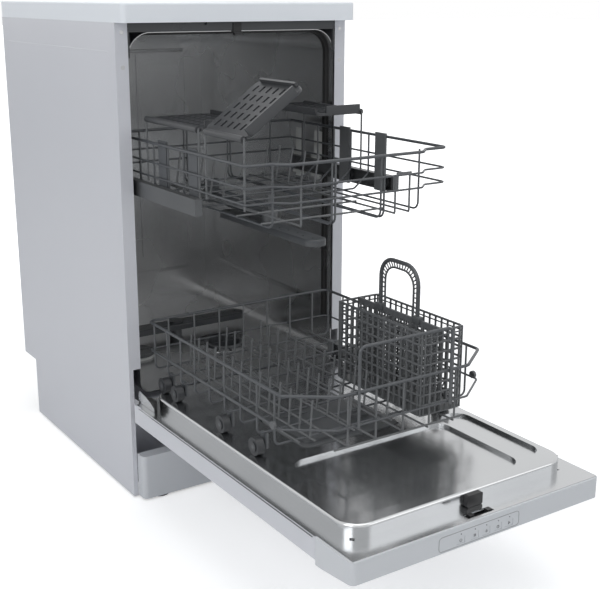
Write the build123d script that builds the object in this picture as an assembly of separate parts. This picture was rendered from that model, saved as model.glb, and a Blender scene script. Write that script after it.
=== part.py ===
"""Slimline freestanding dishwasher, door open and both racks run out.

Cabinet frame while modelling: x = 0 is the middle plane, y = 0 the front edge of
the cabinet (+y runs into the tub), z = 0 the floor. save() moves every piece so
that the finished object is centred over its own footprint.
"""
import os

from build123d import *

os.makedirs("parts", exist_ok=True)

# Overall sizes
WIDTH = 448.0
HEIGHT = 850.0
TOP_FRONT = -30.0
TOP_REAR = 546.0
TOP_THICK = 30.5
SHEET = 1.0
TOUCH = 0.3
RUN = 0.05

# Cabinet shell
SHELL_REAR = 540.0
NOTCH_REAR = 476.0
NOTCH_TOP = 120.0
SIDE_BOTTOM = 3.0
FLANGE = 22.0
FLANGE_BOTTOM = 239.0
LOW_LIP = 8.0
HALF = WIDTH / 2
TOP_Z = HEIGHT - TOP_THICK

# Tub
TUB_HALF = HALF - 22.0
TUB_FLOOR = 192.0
TUB_CEILING = HEIGHT - 46.0
TUB_FRONT = 4.0
TUB_REAR = 505.0
TUB_CORNER = 42.0
TUB_FOOT_CORNER = 20.0
TUB_FOOT_TALL = 120.0
TUB_WALL = 1.2
SEAL_THICK = 4.0
SEAL_Y = 22.0

# Base
TRAY_TOP = 34.0
TRAY_BOTTOM = 20.0
TRAY_FRONT = 100.0
PLINTH_TOP = 84.0
PLINTH_BOTTOM = 4.0
PLINTH_FRONT = -24.0
PLINTH_HALF = HALF - 9.0
PLINTH_WALL = 2.0
FOOT_RADIUS = 17.0
FOOT_X = HALF - 48.0
FOOT_FRONT_Y = -4.0
FOOT_REAR_Y = 418.0
FOOT_PAD = 10.0
FOOT_STEM = 5.0

# Door, lying open
HINGE_Y = -9.0
HINGE_Z = 175.5
DOOR_END = -647.5
DOOR_TOP = 183.0
DOOR_BOTTOM = 150.0
CONSOLE_START = -566.0
CONSOLE_DROP = 143.0
CONSOLE_RISE = 151.0
LINER_TOP = 205.0
LINER_HALF = TUB_HALF - 3.0
LINER_FAR = -609.0
LINER_NEAR = -35.0
LINER_CORNER = 35.0
DISH_DEPTH = 5.0

# Racks
WIRE = 1.6
RIM_WIRE = 2.4
LOW_HALF = TUB_HALF - 17.0
LOW_FRONT = -470.0
LOW_SHOULDER = -423.0
LOW_NOSE = LOW_HALF - 64.0
LOW_REAR = -4.0
LOW_TOP = 323.0
LOW_MID = 273.0
LOW_FLOOR = 240.0
WHEEL_RADIUS = 13.8
WHEEL_WIDE = 12.0
WHEEL_X = LOW_HALF - 4.0
WHEEL_YS = (-348.0, -248.0, -94.0, -48.0)
UP_HALF = TUB_HALF - 19.0
UP_FRONT = -352.0
UP_STEP = -332.0
UP_REAR = 118.0
UP_LEVELS = (632.0, 600.0, 577.0)
UP_FLOOR = 537.0

# Upper rail and its rollers
RAIL_Z = 553.0
RAIL_TALL = 26.0
RAIL_FRONT = -198.0
RAIL_X = TUB_HALF - 13.0

# Cutlery basket
BASKET_X = (LOW_HALF - 131.0, LOW_HALF - 47.0)
BASKET_Y = (-440.0, -224.0)
BASKET_Z = (LOW_FLOOR + WIRE + TOUCH, 376.0)
ARCH_TOP = 463.0

# Water parts
SUMP_X = 58.0
SUMP_Y = 168.0
SUMP_RADIUS = 62.0
FILTER_RADIUS = 34.0
SALT_X = -122.0
SALT_Y = 190.0
SALT_RADIUS = 34.0
FEED_Z = 505.0
FEED_RADIUS = 9.0
ARM_Y = 265.0
ARM_Z = 208.0
ARM_HALF = 158.0
POST_RADIUS = 12.0
VALVE_RADIUS = 13.2
SPIGOT_RADIUS = 9.5

# Door fittings
LATCH_X = (-25.0, 22.0)
LATCH_Y = (-640.0, -628.0)
BUTTON_XS = (-44.0, -19.0, 1.5, 23.5, 44.5)
BUTTON_Z = 161.5
DISH_X = (42.0 - LINER_HALF, LINER_HALF - 68.0)
DISH_Y = (-585.0, -398.0)
DISPENSER = (-108.0, 72.0, -370.0, -240.0)
RINSE_RADIUS = 16.0
LID_THICK = 4.0
BUMPER_X = (HALF - 20.5, HALF - 12.0)
BUMPER_Y = (-66.0, -40.0)

# Rack fittings
AXLE_RADIUS = 3.0
WHEEL_Z = LINER_TOP + WHEEL_RADIUS + TOUCH
HANDLE_Z = 391.0
CARRY_Y = HINGE_Y - 400.0
CARRY_Z = HINGE_Z + 100.0
RAIL_WALL = 1.5
ROLLER_FRONT_Y = -170.0
ROLLER_REAR_Y = -67.0
ROLLER_RADIUS = RAIL_TALL / 2 - RAIL_WALL - TOUCH
HANGER_X = UP_HALF - RIM_WIRE
UP_ARM_Y = -100.0
UP_ARM_HALF = 150.0
UP_CROSS_YS = (-136.0, 70.0)
SHELF_HINGE_Z = 668.0
SHELF_X = UP_HALF - 2 * WIRE
SHELF_BAR_INSET = 8.0
LEFT_FRONT_SHELF = (-266.0, 124.0, 118.0, 35.0)
LEFT_REAR_SHELF = (-100.0, 190.0, 118.0, 0.0)
RIGHT_SHELF = (-24.0, 190.0, 92.0, 0.0)

SHIFT_Y = -(DOOR_END + TOP_REAR) / 2


def save(name, *solids):
    """Write one sub-part, moved to the object's own origin."""
    flat = []
    for item in solids:
        flat.extend(item if isinstance(item, (list, tuple)) else [item])
    bodies = [s for shape in flat for s in shape.solids()]
    moved = [Pos(0, SHIFT_Y, 0) * s for s in bodies]
    whole = moved[0] if len(moved) == 1 else Compound(children=moved)
    export_step(whole, f"parts/{name}.step")


def block(x0, x1, y0, y1, z0, z1):
    """A box between two corners."""
    middle = Pos((x0 + x1) / 2, (y0 + y1) / 2, (z0 + z1) / 2)
    return middle * Box(abs(x1 - x0), abs(y1 - y0), abs(z1 - z0))


def rod(start, end, radius):
    """A round bar between two points."""
    a = Vector(*start)
    b = Vector(*end)
    plane = Plane(origin=(a + b) * 0.5, z_dir=(b - a))
    return plane * Cylinder(radius, (b - a).length)


def bent(points, radius, bend):
    """A round wire through points, with an arc of the same bend at each corner."""
    path = FilletPolyline(*[Vector(*p) for p in points], radius=bend)
    start = Plane(origin=path @ 0, z_dir=path % 0)
    return sweep(start * Circle(radius), path=path)


def hoop(points, radius, bend):
    """A closed round wire through points."""
    path = FilletPolyline(*[Vector(*p) for p in points], radius=bend, close=True)
    start = Plane(origin=path @ 0, z_dir=path % 0)
    return sweep(start * Circle(radius), path=path)


def disc(x, y, z, radius, wide, axis="Z"):
    """A round piece centred on a point, its axis along one frame axis."""
    turn = {"X": Rot(0, 90, 0), "Y": Rot(90, 0, 0), "Z": Rot(0, 0, 0)}[axis]
    return Pos(x, y, z) * turn * Cylinder(radius, wide)


def rounded(x0, x1, y0, y1, z0, z1, corner, axis=Axis.Z):
    """A box whose four edges along one axis are rounded."""
    solid = block(x0, x1, y0, y1, z0, z1)
    return fillet(solid.edges().filter_by(axis), corner)


def mirrored(solid):
    """The solid and its twin on the other side of the middle plane."""
    return [solid, mirror(solid, about=Plane.YZ)]


def steps(first, last, count):
    """Evenly spaced values from first to last."""
    return [first + (last - first) * i / (count - 1) for i in range(count)]


# Cabinet shell

def worktop():
    """Laminated board with rounded upright corners and eased edges."""
    board = rounded(-HALF, HALF, TOP_FRONT, TOP_REAR, TOP_Z, HEIGHT, 9.0)
    return fillet(board.faces().sort_by(Axis.Z)[-1].edges(), 3.0)


def side_panel():
    """Right side sheet: wall, front flange, top flange and the rear notch."""
    wall = block(HALF - SHEET, HALF, 0, SHELL_REAR, SIDE_BOTTOM, TOP_Z)
    notch = block(HALF - 2 * SHEET, HALF + SHEET, NOTCH_REAR, SHELL_REAR + 1, 0, NOTCH_TOP)
    wall = wall - notch
    front = block(HALF - FLANGE, HALF - SHEET, 0, SHEET, FLANGE_BOTTOM, TOP_Z)
    low_lip = block(HALF - LOW_LIP, HALF - SHEET, 0, SHEET, SIDE_BOTTOM, FLANGE_BOTTOM)
    top = block(HALF - 12, HALF - SHEET, SHEET, SHELL_REAR, TOP_Z - SHEET, TOP_Z)
    foot = block(HALF - 24, HALF - SHEET, TRAY_FRONT, NOTCH_REAR, TRAY_BOTTOM - SHEET, TRAY_BOTTOM)
    return wall + front + low_lip + top + foot


def rear_panel():
    """Rear sheet between the sides, with a rib cross."""
    x = HALF - SHEET - TOUCH
    sheet = block(-x, x, SHELL_REAR - SHEET, SHELL_REAR, NOTCH_TOP, TOP_Z - SHEET - TOUCH)
    for z in (330.0, 560.0):
        sheet = sheet + block(-150, 150, SHELL_REAR - 5, SHELL_REAR - SHEET, z, z + 14)
    return sheet


def front_frame():
    """Galvanised head rail between the flanges and the two hinge carriers."""
    x = HALF - FLANGE - TOUCH
    head = block(-x, x, 1.5, 3.0, TUB_CEILING + 8, TOP_Z - SHEET)
    shelf = block(-x, x, 3.0, 30.0, TOP_Z - 2.5, TOP_Z - SHEET)
    hole = disc(-60, 2, TUB_CEILING + 12.5, 2.5, 8, "Y")
    return (head + shelf) - hole


def hinge_carriers():
    """Two steel plates behind the flanges, each with its hinge pin."""
    plate_x = HALF - LOW_LIP - TOUCH
    plate = block(plate_x - 2.0, plate_x, 12.0, 96.0, 60.0, 172.0)
    arm = block(plate_x - 2.0, plate_x, -16.0, 12.0, 164.0, 187.0)
    web = block(plate_x - 2.0, plate_x, 10.0, 40.0, 150.0, 187.0)
    pin = rod((plate_x - 2.0, HINGE_Y, HINGE_Z), (plate_x - 12.0, HINGE_Y, HINGE_Z), 4.0)
    return mirrored(plate + arm + web + pin)


def tub():
    """Stainless wash chamber: open front box with rounded edges along its depth."""
    outer = rounded(-TUB_HALF, TUB_HALF, TUB_FRONT, TUB_REAR, TUB_FLOOR - TUB_WALL,
                    TUB_CEILING, TUB_CORNER, Axis.Y)
    inner = rounded(-TUB_HALF + TUB_WALL, TUB_HALF - TUB_WALL, TUB_FRONT - 5,
                    TUB_REAR - TUB_WALL, TUB_FLOOR, TUB_CEILING - TUB_WALL,
                    TUB_CORNER - TUB_WALL, Axis.Y)
    foot_top = TUB_FLOOR + TUB_FOOT_TALL
    outer += rounded(-TUB_HALF, TUB_HALF, TUB_FRONT, TUB_REAR, TUB_FLOOR - TUB_WALL,
                     foot_top, TUB_FOOT_CORNER, Axis.Y)
    inner += rounded(-TUB_HALF + TUB_WALL, TUB_HALF - TUB_WALL, TUB_FRONT - 5,
                     TUB_REAR - TUB_WALL, TUB_FLOOR, foot_top - TUB_WALL,
                     TUB_FOOT_CORNER - TUB_WALL, Axis.Y)
    shell = outer - inner
    for x in (-52.0, 52.0, TUB_HALF - 37, 37 - TUB_HALF):
        rib = rounded(x - 8, x + 8, TUB_REAR - 4, TUB_REAR - TUB_WALL, 300, TUB_CEILING - 64, 1.2,
                      Axis.Y)
        shell = shell + rib
    sump_hole = disc(SUMP_X, SUMP_Y, TUB_FLOOR, SUMP_RADIUS, 20, "Z")
    salt_hole = disc(SALT_X, SALT_Y, TUB_FLOOR, SALT_RADIUS, 20, "Z")
    pipe_hole = disc(0, TUB_REAR, FEED_Z, FEED_RADIUS + TOUCH, 20, "Y")
    post_hole = disc(0, ARM_Y, TUB_FLOOR, POST_RADIUS + TOUCH, 20)
    return shell - sump_hole - salt_hole - pipe_hole - post_hole


def tub_gasket():
    """Rubber seal lying just inside the tub mouth, open along the threshold."""
    x = TUB_HALF - TUB_WALL - TOUCH
    top = TUB_CEILING - TUB_WALL - TOUCH
    corner = TUB_CORNER - TUB_WALL - TOUCH
    foot_z = TUB_FLOOR + 20
    outer = rounded(-x, x, SEAL_Y, SEAL_Y + 8, foot_z, top, corner, Axis.Y)
    inner = rounded(-x + SEAL_THICK, x - SEAL_THICK, SEAL_Y - 3, SEAL_Y + 12, foot_z - 60,
                    top - SEAL_THICK, corner - SEAL_THICK, Axis.Y)
    cut_low = block(-TUB_HALF, TUB_HALF, 0, SEAL_Y + 20, TUB_FLOOR, foot_z + TUB_CORNER + 5)
    return outer - inner - cut_low


def latch_hook():
    """Black catch on the head rail, hanging into the tub mouth."""
    stem = block(-8, 8, -0.2, 1.5, TUB_CEILING - 7, TUB_CEILING + 14)
    tip = block(-8, 8, -5.5, -0.2, TUB_CEILING - 7, TUB_CEILING - 3)
    return stem + tip


# Base

def base_tray():
    """Moulded base with an upstand all round and bosses under the feet."""
    x = HALF - SHEET - TOUCH
    outer = block(-x, x, TRAY_FRONT, NOTCH_REAR - 2, TRAY_BOTTOM, TRAY_TOP + 20)
    inner = block(-x + 3, x - 3, TRAY_FRONT + 3, NOTCH_REAR - 5, TRAY_BOTTOM + 3, TRAY_TOP + 30)
    tray = outer - inner
    lip_x = PLINTH_HALF - PLINTH_WALL - 6
    lip_y = PLINTH_FRONT + PLINTH_WALL + TOUCH
    tongue = block(-lip_x, lip_x, lip_y, TRAY_FRONT, TRAY_BOTTOM, TRAY_BOTTOM + 3)
    tray = tray + tongue
    for sx in (-FOOT_X, FOOT_X):
        for y in (FOOT_FRONT_Y, FOOT_REAR_Y):
            tray = tray + disc(sx, y, TRAY_BOTTOM + 10, 9.5, 20, "Z")
            tray = tray - disc(sx, y, TRAY_BOTTOM + 10, FOOT_STEM + RUN, 24, "Z")
    return tray


def base_ballast():
    """Cast counterweight at the rear of the base."""
    z = TRAY_BOTTOM + 3
    return rounded(104 - HALF, HALF - 74, NOTCH_REAR - 76, NOTCH_REAR - 5 - TOUCH, z, z + 150, 4.0)


def plinth():
    """Kick panel with returns to the sides and rounded upright corners."""
    outer = rounded(-PLINTH_HALF, PLINTH_HALF, PLINTH_FRONT, 30.0, PLINTH_BOTTOM,
                    PLINTH_TOP, 9.0)
    wall = PLINTH_WALL
    inner = rounded(-PLINTH_HALF + wall, PLINTH_HALF - wall, PLINTH_FRONT + wall, 40.0,
                    PLINTH_BOTTOM - 1, PLINTH_TOP - wall, 7.0)
    back = block(-PLINTH_HALF, PLINTH_HALF, -0.4, 40.0, 0, HEIGHT)
    return outer - inner - back


def foot(x, y):
    """Levelling foot: round pad and the stem that screws into the base boss."""
    pad = fillet(disc(x, y, FOOT_PAD / 2, FOOT_RADIUS, FOOT_PAD).edges().sort_by(Axis.Z)[-1], 3.0)
    neck = disc(x, y, FOOT_PAD + (TRAY_BOTTOM - TOUCH - FOOT_PAD) / 2, 8.0,
                TRAY_BOTTOM - TOUCH - FOOT_PAD)
    stem = disc(x, y, TRAY_BOTTOM + 6, FOOT_STEM, 14.0)
    return pad + neck + stem


# Water parts

def sump():
    """Collecting cup under the tub floor with its filter seat."""
    top = TUB_FLOOR - TUB_WALL - TOUCH
    flange = disc(SUMP_X, SUMP_Y, top - 1.5, SUMP_RADIUS + 10, 3.0)
    cup = disc(SUMP_X, SUMP_Y, top - 3 - 27, SUMP_RADIUS - 4, 54.0)
    hollow = disc(SUMP_X, SUMP_Y, top - 26, SUMP_RADIUS - 7, 56.0)
    x0 = SUMP_X + SUMP_RADIUS
    port = rod((x0 - 6, SUMP_Y, top - 40), (x0 + 14, SUMP_Y, top - 40), 13.0)
    port_bore = rod((x0 - 12, SUMP_Y, top - 40), (x0 + 15, SUMP_Y, top - 40), 10.5)
    body = flange + cup - hollow
    return body + (port - disc(SUMP_X, SUMP_Y, top - 40, SUMP_RADIUS - 5.5, 60)) - port_bore


def fine_filter():
    """Flat stainless mesh plate that lies in the sump mouth."""
    plate = disc(SUMP_X, SUMP_Y, TUB_FLOOR - TUB_WALL - TOUCH + 1.0, SUMP_RADIUS - TOUCH, 2.0)
    bore = disc(SUMP_X, SUMP_Y, TUB_FLOOR, FILTER_RADIUS + TOUCH, 10.0)
    slots = [Pos(SUMP_X, SUMP_Y, 0) * Rot(0, 0, a) * Pos(48, 0, TUB_FLOOR) * Box(14, 3, 10)
             for a in range(15, 375, 30)]
    plate = plate - bore
    for slot in slots:
        plate = plate - slot
    return plate


def coarse_filter():
    """Lift-out cylinder filter with a twist grip."""
    wall = disc(SUMP_X, SUMP_Y, TUB_FLOOR - 20, FILTER_RADIUS, 44.0)
    hollow = disc(SUMP_X, SUMP_Y, TUB_FLOOR - 16, FILTER_RADIUS - 2.5, 46.0)
    rim = disc(SUMP_X, SUMP_Y, TUB_FLOOR + 2, FILTER_RADIUS + 4, 3.0)
    rim_bore = disc(SUMP_X, SUMP_Y, TUB_FLOOR + 2, FILTER_RADIUS - 2.5, 8.0)
    grip = block(SUMP_X - FILTER_RADIUS + 2, SUMP_X + FILTER_RADIUS - 2, SUMP_Y - 1.5, SUMP_Y + 1.5,
                 TUB_FLOOR - 12, TUB_FLOOR + 3)
    return (wall - hollow) + (rim - rim_bore) + grip


def salt_container():
    """Softener pot under the tub floor with its threaded neck."""
    top = TUB_FLOOR - TUB_WALL - TOUCH
    pot = rounded(SALT_X - 58, SALT_X + 50, SALT_Y - 76, SALT_Y + 60, 66.0, top, 10.0)
    hollow = rounded(SALT_X - 55, SALT_X + 47, SALT_Y - 73, SALT_Y + 57, 69.0, top - 3, 8.0)
    neck = disc(SALT_X, SALT_Y, TUB_FLOOR + 1, SALT_RADIUS - TOUCH, 2 * (TUB_FLOOR - top) + 4)
    bore = disc(SALT_X, SALT_Y, TUB_FLOOR, SALT_RADIUS - 5, 30)
    return (pot - hollow) + neck - bore


def salt_cap():
    """Screw cap of the softener pot, with a cross grip."""
    z = TUB_FLOOR + 1 + (TUB_FLOOR - (TUB_FLOOR - TUB_WALL - TOUCH)) + 2 + TOUCH
    cap = disc(SALT_X, SALT_Y, z + 3, SALT_RADIUS - 1, 6.0)
    plug = disc(SALT_X, SALT_Y, z - 5, SALT_RADIUS - 5 - RUN, 10.2)
    bar = block(SALT_X - 24, SALT_X + 24, SALT_Y - 3, SALT_Y + 3, z + 6, z + 9)
    return cap + plug + bar


def wash_pump():
    """Circulation pump with its heater ring and motor, lying beside the sump."""
    z = TUB_FLOOR - TUB_WALL - TOUCH - 40
    x0 = SUMP_X + SUMP_RADIUS + 14
    volute = rod((x0, SUMP_Y, z), (x0 + 30, SUMP_Y, z), 37.0)
    motor = rod((x0 + 20, SUMP_Y - 15, z), (x0 + 20, SUMP_Y - 90, z), 30.0)
    outlet = rod((x0 + 20, SUMP_Y, z), (x0 + 20, SUMP_Y + 80, z), 12.0)
    saddle = block(x0 + 4, x0 + 36, TRAY_FRONT + 3 + TOUCH, SUMP_Y - 30, TRAY_BOTTOM + 3, z - 20)
    return volute + motor + outlet + saddle


def drain_pump():
    """Small pump on the left of the sump, resting on the base."""
    z = 84.0
    case = rod((-4, SUMP_Y + 78, z), (-64, SUMP_Y + 78, z), 27.0)
    leg = block(-54, -14, SUMP_Y + 62, SUMP_Y + 94, TRAY_BOTTOM + 3, z - 15)
    spout = rod((-34, SUMP_Y + 78, z), (-34, SUMP_Y + 120, z + 20), 9.0)
    return case + leg + spout


def arm_blade(half, thick):
    """Blade of a spray arm about its own centre: tapered tips, raised hub, jets."""
    body = rounded(-half, half, -19, 19, 0, thick, 17.0)
    body = fillet(body.edges().filter_by(GeomType.LINE).group_by(Axis.Z)[-1], 3.0)
    hub = disc(0, 0, thick + 2, 15, 4.0)
    body = body + hub
    for i in range(5):
        at = 38 + i * (half - 56) / 4
        for side in (-1, 1):
            body = body - (Pos(side * at, 5 - 2.5 * (i % 3), thick) * Cylinder(1.8, 4.0))
    return body


def lower_spray_arm():
    """Lower arm, lying across the tub, with the spigot that turns in the filter."""
    blade = Pos(0, ARM_Y, ARM_Z) * arm_blade(ARM_HALF, 12.0)
    spigot = disc(0, ARM_Y, ARM_Z - 6, 8.0, 12.2)
    return blade + spigot


def arm_bearing():
    """Pipe that rises through the tub floor and holds the lower arm's spigot."""
    low = TUB_FLOOR - 40
    high = ARM_Z - TOUCH
    tube = disc(0, ARM_Y, (low + high) / 2, POST_RADIUS, high - low)
    bore = disc(0, ARM_Y, high - 5, 8.0 + RUN, 40.0)
    return tube - bore


def rear_feed_pipe():
    """Pipe up the outside of the tub and its nozzle into the upper rack's coupling."""
    riser = block(-14, 14, TUB_REAR + TOUCH, TUB_REAR + 16, TUB_FLOOR - 30, FEED_Z + 16)
    nozzle = rod((0, TUB_REAR + 6, FEED_Z), (0, TUB_REAR - 8, FEED_Z), FEED_RADIUS)
    bore = rod((0, TUB_REAR - 9, FEED_Z), (0, TUB_REAR + 4, FEED_Z), FEED_RADIUS - 3)
    return riser + nozzle - bore


def air_break_tank():
    """Flat moulded water inlet tank between the tub and the left side."""
    x0 = -HALF + SHEET + TOUCH
    x1 = -TUB_HALF - TOUCH
    tank = rounded(x0, x1, 170, 420, 240, 620, 14.0, Axis.X)
    return tank


def inlet_valve():
    """Water inlet valve in the rear notch with its threaded end."""
    x, y = HALF - 36, NOTCH_REAR
    body = block(x - 20, x + 20, y - 40, y - 5 - TOUCH, 70, 112)
    stub = rod((x, y - 5 - TOUCH, 91), (x, y + 14, 91), VALVE_RADIUS)
    bore = rod((x, y + 2, 91), (x, y + 15, 91), 8.0)
    base = block(x - 12, x + 12, y - 36, y - 12, TRAY_BOTTOM + 3, 70)
    return body + stub - bore + base


def drain_spigot():
    """Barbed outlet for the waste hose."""
    x, y = 49 - HALF, NOTCH_REAR
    body = block(x - 15, x + 15, y - 30, y - 5 - TOUCH, 66, 96)
    stub = rod((x, y - 5 - TOUCH, 81), (x, y + 24, 81), SPIGOT_RADIUS)
    bore = rod((x, y + 4, 81), (x, y + 25, 81), 6.5)
    base = block(x - 10, x + 10, y - 28, y - 8, TRAY_BOTTOM + 3, 66)
    return body + stub - bore + base


def power_inlet():
    """Terminal box and cable gland at the rear of the base."""
    x, y = 85 - HALF, NOTCH_REAR
    body = block(x - 13, x + 13, y - 40, y - 5 - TOUCH, 60, 110)
    gland = rod((x, y - 5 - TOUCH, 85), (x, y + 10, 85), 9.0)
    bore = rod((x, y, 85), (x, y + 11, 85), 4.0)
    base = block(x - 11, x + 11, y - 36, y - 12, TRAY_BOTTOM + 3, 60)
    return body + gland - bore + base


def door_springs():
    """Two balance springs in the base sides, as closed barrels with end eyes."""
    x = HALF - 22
    barrel = rod((x, 110, 120), (x, 230, 70), 8.0)
    front = rod((x, 96, 126), (x, 110, 120), 2.5)
    rear = rod((x, 230, 70), (x, 246, 63), 2.5)
    hook = block(x - 6, x + 6, 244, 258, TRAY_BOTTOM + 3, 66)
    return mirrored(barrel + front + rear + hook)


# Door

def door_outer_panel():
    """Painted door skin: shallow pan, closed below, that the console finishes."""
    x = HALF
    pan = block(-x, x, CONSOLE_START, HINGE_Y + 74, DOOR_BOTTOM, DOOR_TOP)
    trim = block(-x - 1, x + 1, HINGE_Y - 8, HINGE_Y + 80, DOOR_BOTTOM - 1, DOOR_TOP + 1)
    pan = pan - trim
    tail_x = PLINTH_HALF - 8
    tail = block(-tail_x, tail_x, HINGE_Y - 8, HINGE_Y + 70, DOOR_BOTTOM, DOOR_BOTTOM + SHEET)
    inner = block(-x + SHEET, x - SHEET, CONSOLE_START - 1, HINGE_Y,
                  DOOR_BOTTOM + SHEET, DOOR_TOP + 1)
    lip = block(-x + SHEET, x - SHEET, CONSOLE_START, HINGE_Y - 14,
                DOOR_TOP - SHEET, DOOR_TOP)
    window = block(-LINER_HALF + 6, LINER_HALF - 6, CONSOLE_START - 1, HINGE_Y,
                   DOOR_TOP - 3, DOOR_TOP + 1)
    return (pan - inner) + (lip - window) + tail


def console():
    """Moulded control head at the far end of the door, stepped under as a grip."""
    y0, y1 = DOOR_END, CONSOLE_START - TOUCH
    with BuildPart() as head:
        with BuildSketch(Plane.YZ):
            with BuildLine():
                Polyline((y0, CONSOLE_RISE), (y0, DOOR_TOP), (y1, DOOR_TOP),
                         (y1, CONSOLE_DROP), (y1 - 10, CONSOLE_DROP), close=True)
            make_face()
        extrude(amount=HALF, both=True)
    solid = head.part
    uprights = solid.faces().sort_by(Axis.Y)[0].edges().filter_by(Axis.Z)
    solid = fillet(uprights, 8.0)
    bay = block(-HALF + 10, HALF - 10, y0 + 12, y1 + 1, CONSOLE_RISE + 4, DOOR_TOP - 1.5)
    slot = block(LATCH_X[0], LATCH_X[1], LATCH_Y[0], LATCH_Y[1], DOOR_TOP - 5, DOOR_TOP + 1)
    for x in BUTTON_XS:
        solid = solid - block(x - 7.0, x + 7.0, y0 - 1, y0 + 13, BUTTON_Z - 5.0, BUTTON_Z + 5.0)
    return solid - bay - slot


def button(x):
    """Push key in the door's end face, with its rear collar."""
    y0 = DOOR_END
    cap = rounded(x - 6.7, x + 6.7, y0 + 0.4, y0 + 14, BUTTON_Z - 4.7, BUTTON_Z + 4.7, 1.2, Axis.Y)
    return cap


def control_board():
    """Circuit board behind the keys, on the floor of the console bay."""
    board = block(-120, 120, DOOR_END + 18, DOOR_END + 70, CONSOLE_RISE + 4, CONSOLE_RISE + 6)
    switches = [block(x - 3, x + 3, DOOR_END + 18, DOOR_END + 24, CONSOLE_RISE + 6,
                      CONSOLE_RISE + 14) for x in BUTTON_XS]
    relay = block(70, 95, DOOR_END + 40, DOOR_END + 60, CONSOLE_RISE + 6, CONSOLE_RISE + 20)
    solid = board + relay
    for switch in switches:
        solid = solid + switch
    return solid


def door_liner():
    """Stainless inner door: raised tray with rounded corners and a sunk panel."""
    outer = rounded(-LINER_HALF, LINER_HALF, LINER_FAR, LINER_NEAR, DOOR_TOP, LINER_TOP,
                    LINER_CORNER)
    outer = fillet(outer.faces().sort_by(Axis.Z)[-1].edges(), 4.0)
    inner = rounded(-LINER_HALF + SHEET, LINER_HALF - SHEET, LINER_FAR + SHEET,
                    LINER_NEAR - SHEET, DOOR_TOP - 1, LINER_TOP - DISH_DEPTH - 2 * SHEET,
                    LINER_CORNER - SHEET)
    dish = rounded(*DISH_X, *DISH_Y, LINER_TOP - DISH_DEPTH, LINER_TOP + 1, 26.0)
    groove = rounded(134.0, 186.0, -572.0, -384.0, LINER_TOP - DISH_DEPTH, LINER_TOP + 1, 24.0)
    cutter = block(DISPENSER[0] - TOUCH, DISPENSER[1] + TOUCH, DISPENSER[2] - TOUCH,
                   DISPENSER[3] + TOUCH, DOOR_TOP - 5, LINER_TOP + 5)
    plate = block(-HALF + 2, HALF - 2, CONSOLE_START + 1, HINGE_Y - 12, DOOR_TOP, DOOR_TOP + SHEET)
    hollow = block(-LINER_HALF + 8, LINER_HALF - 8, LINER_FAR + 8, LINER_NEAR - 8,
                   DOOR_TOP - 1, DOOR_TOP + 3)
    strip = block(-HALF + 3, HALF - 3, DOOR_END + 3, CONSOLE_START + 1, DOOR_TOP, DOOR_TOP + SHEET)
    slot = block(LATCH_X[0], LATCH_X[1], LATCH_Y[0], LATCH_Y[1], DOOR_TOP - 5, DOOR_TOP + 3)
    tongue = block(-LINER_HALF, LINER_HALF, HINGE_Y - 13, HINGE_Y - 2, DOOR_TOP, DOOR_TOP + SHEET)
    solid = outer + plate + strip + tongue - inner - hollow - slot
    solid = solid - dish - groove - cutter
    return solid


def dispenser_body():
    """Detergent and rinse-aid unit set in the inner door."""
    x0, x1, y0, y1 = DISPENSER
    top = LINER_TOP + 1.5
    body = rounded(x0, x1, y0, y1, DOOR_TOP - 20, top, 10.0)
    cup = rounded(x0 + 12, x0 + 92, y0 + 14, y1 - 14, DOOR_TOP - 12, top + 1, 12.0)
    filler = disc(x1 - 34, (y0 + y1) / 2, top - 6, RINSE_RADIUS - 3, 14.0)
    seat = disc(x1 - 34, (y0 + y1) / 2, top, RINSE_RADIUS + TOUCH, 3.0)
    return body - cup - filler - seat


def dispenser_lid():
    """Sliding lid over the detergent cup, with a finger rib."""
    x0, _, y0, y1 = DISPENSER
    z = LINER_TOP + 1.5 + TOUCH
    lid = rounded(x0 + 8, x0 + 96, y0 + 10, y1 - 10, z, z + LID_THICK, 8.0)
    rib = block(x0 + 30, x0 + 74, y1 - 26, y1 - 22, z + LID_THICK, z + LID_THICK + 1.5)
    return lid + rib


def rinse_cap():
    """Quarter-turn cap of the rinse-aid filler."""
    _, x1, y0, y1 = DISPENSER
    z = LINER_TOP + TOUCH
    cap = disc(x1 - 34, (y0 + y1) / 2, z + 2.5, RINSE_RADIUS, 4.6)
    bar = block(x1 - 34 - 11, x1 - 34 + 11, (y0 + y1) / 2 - 2.5, (y0 + y1) / 2 + 2.5,
                z + 4.8, z + 8.5)
    return cap + bar


def door_seal():
    """Rubber lip along the bottom edge of the inner door."""
    return block(-LINER_HALF + 30, LINER_HALF - 30, LINER_NEAR, LINER_NEAR + 6, DOOR_TOP + 2,
                 LINER_TOP - 3)


def door_latch():
    """Black latch unit: bolt housing in the slot and the striker on the skirt."""
    cheeks = [block(x, x + 8, LATCH_Y[0] + 2, LATCH_Y[1] - 2, DOOR_TOP - 5, DOOR_TOP + 2.5)
              for x in (-20, 12)]
    housing = block(-30, 30, DOOR_END + 12.5, LINER_FAR - TOUCH - 9, CONSOLE_RISE + 22,
                    DOOR_TOP - 5)
    for cheek in cheeks:
        housing = housing + cheek
    striker = rounded(-6.5, 21.5, LINER_FAR - 8, LINER_FAR - TOUCH, DOOR_TOP + SHEET + TOUCH,
                      LINER_TOP - 3, 2.5, Axis.Y)
    return housing, striker


def hinge_arms():
    """Steel arms fixed under the inner door that turn on the hinge pins."""
    x1 = HALF - LOW_LIP - TOUCH - 2.0 - TOUCH
    x0 = x1 - 6.0
    arm = block(x0, x1, -180.0, HINGE_Y + 10, HINGE_Z - 10, DOOR_TOP - 1.5)
    arm = arm - rod((x0 - 1, HINGE_Y, HINGE_Z), (x1 + 1, HINGE_Y, HINGE_Z), 4.0 + RUN)
    return mirrored(arm)


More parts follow.
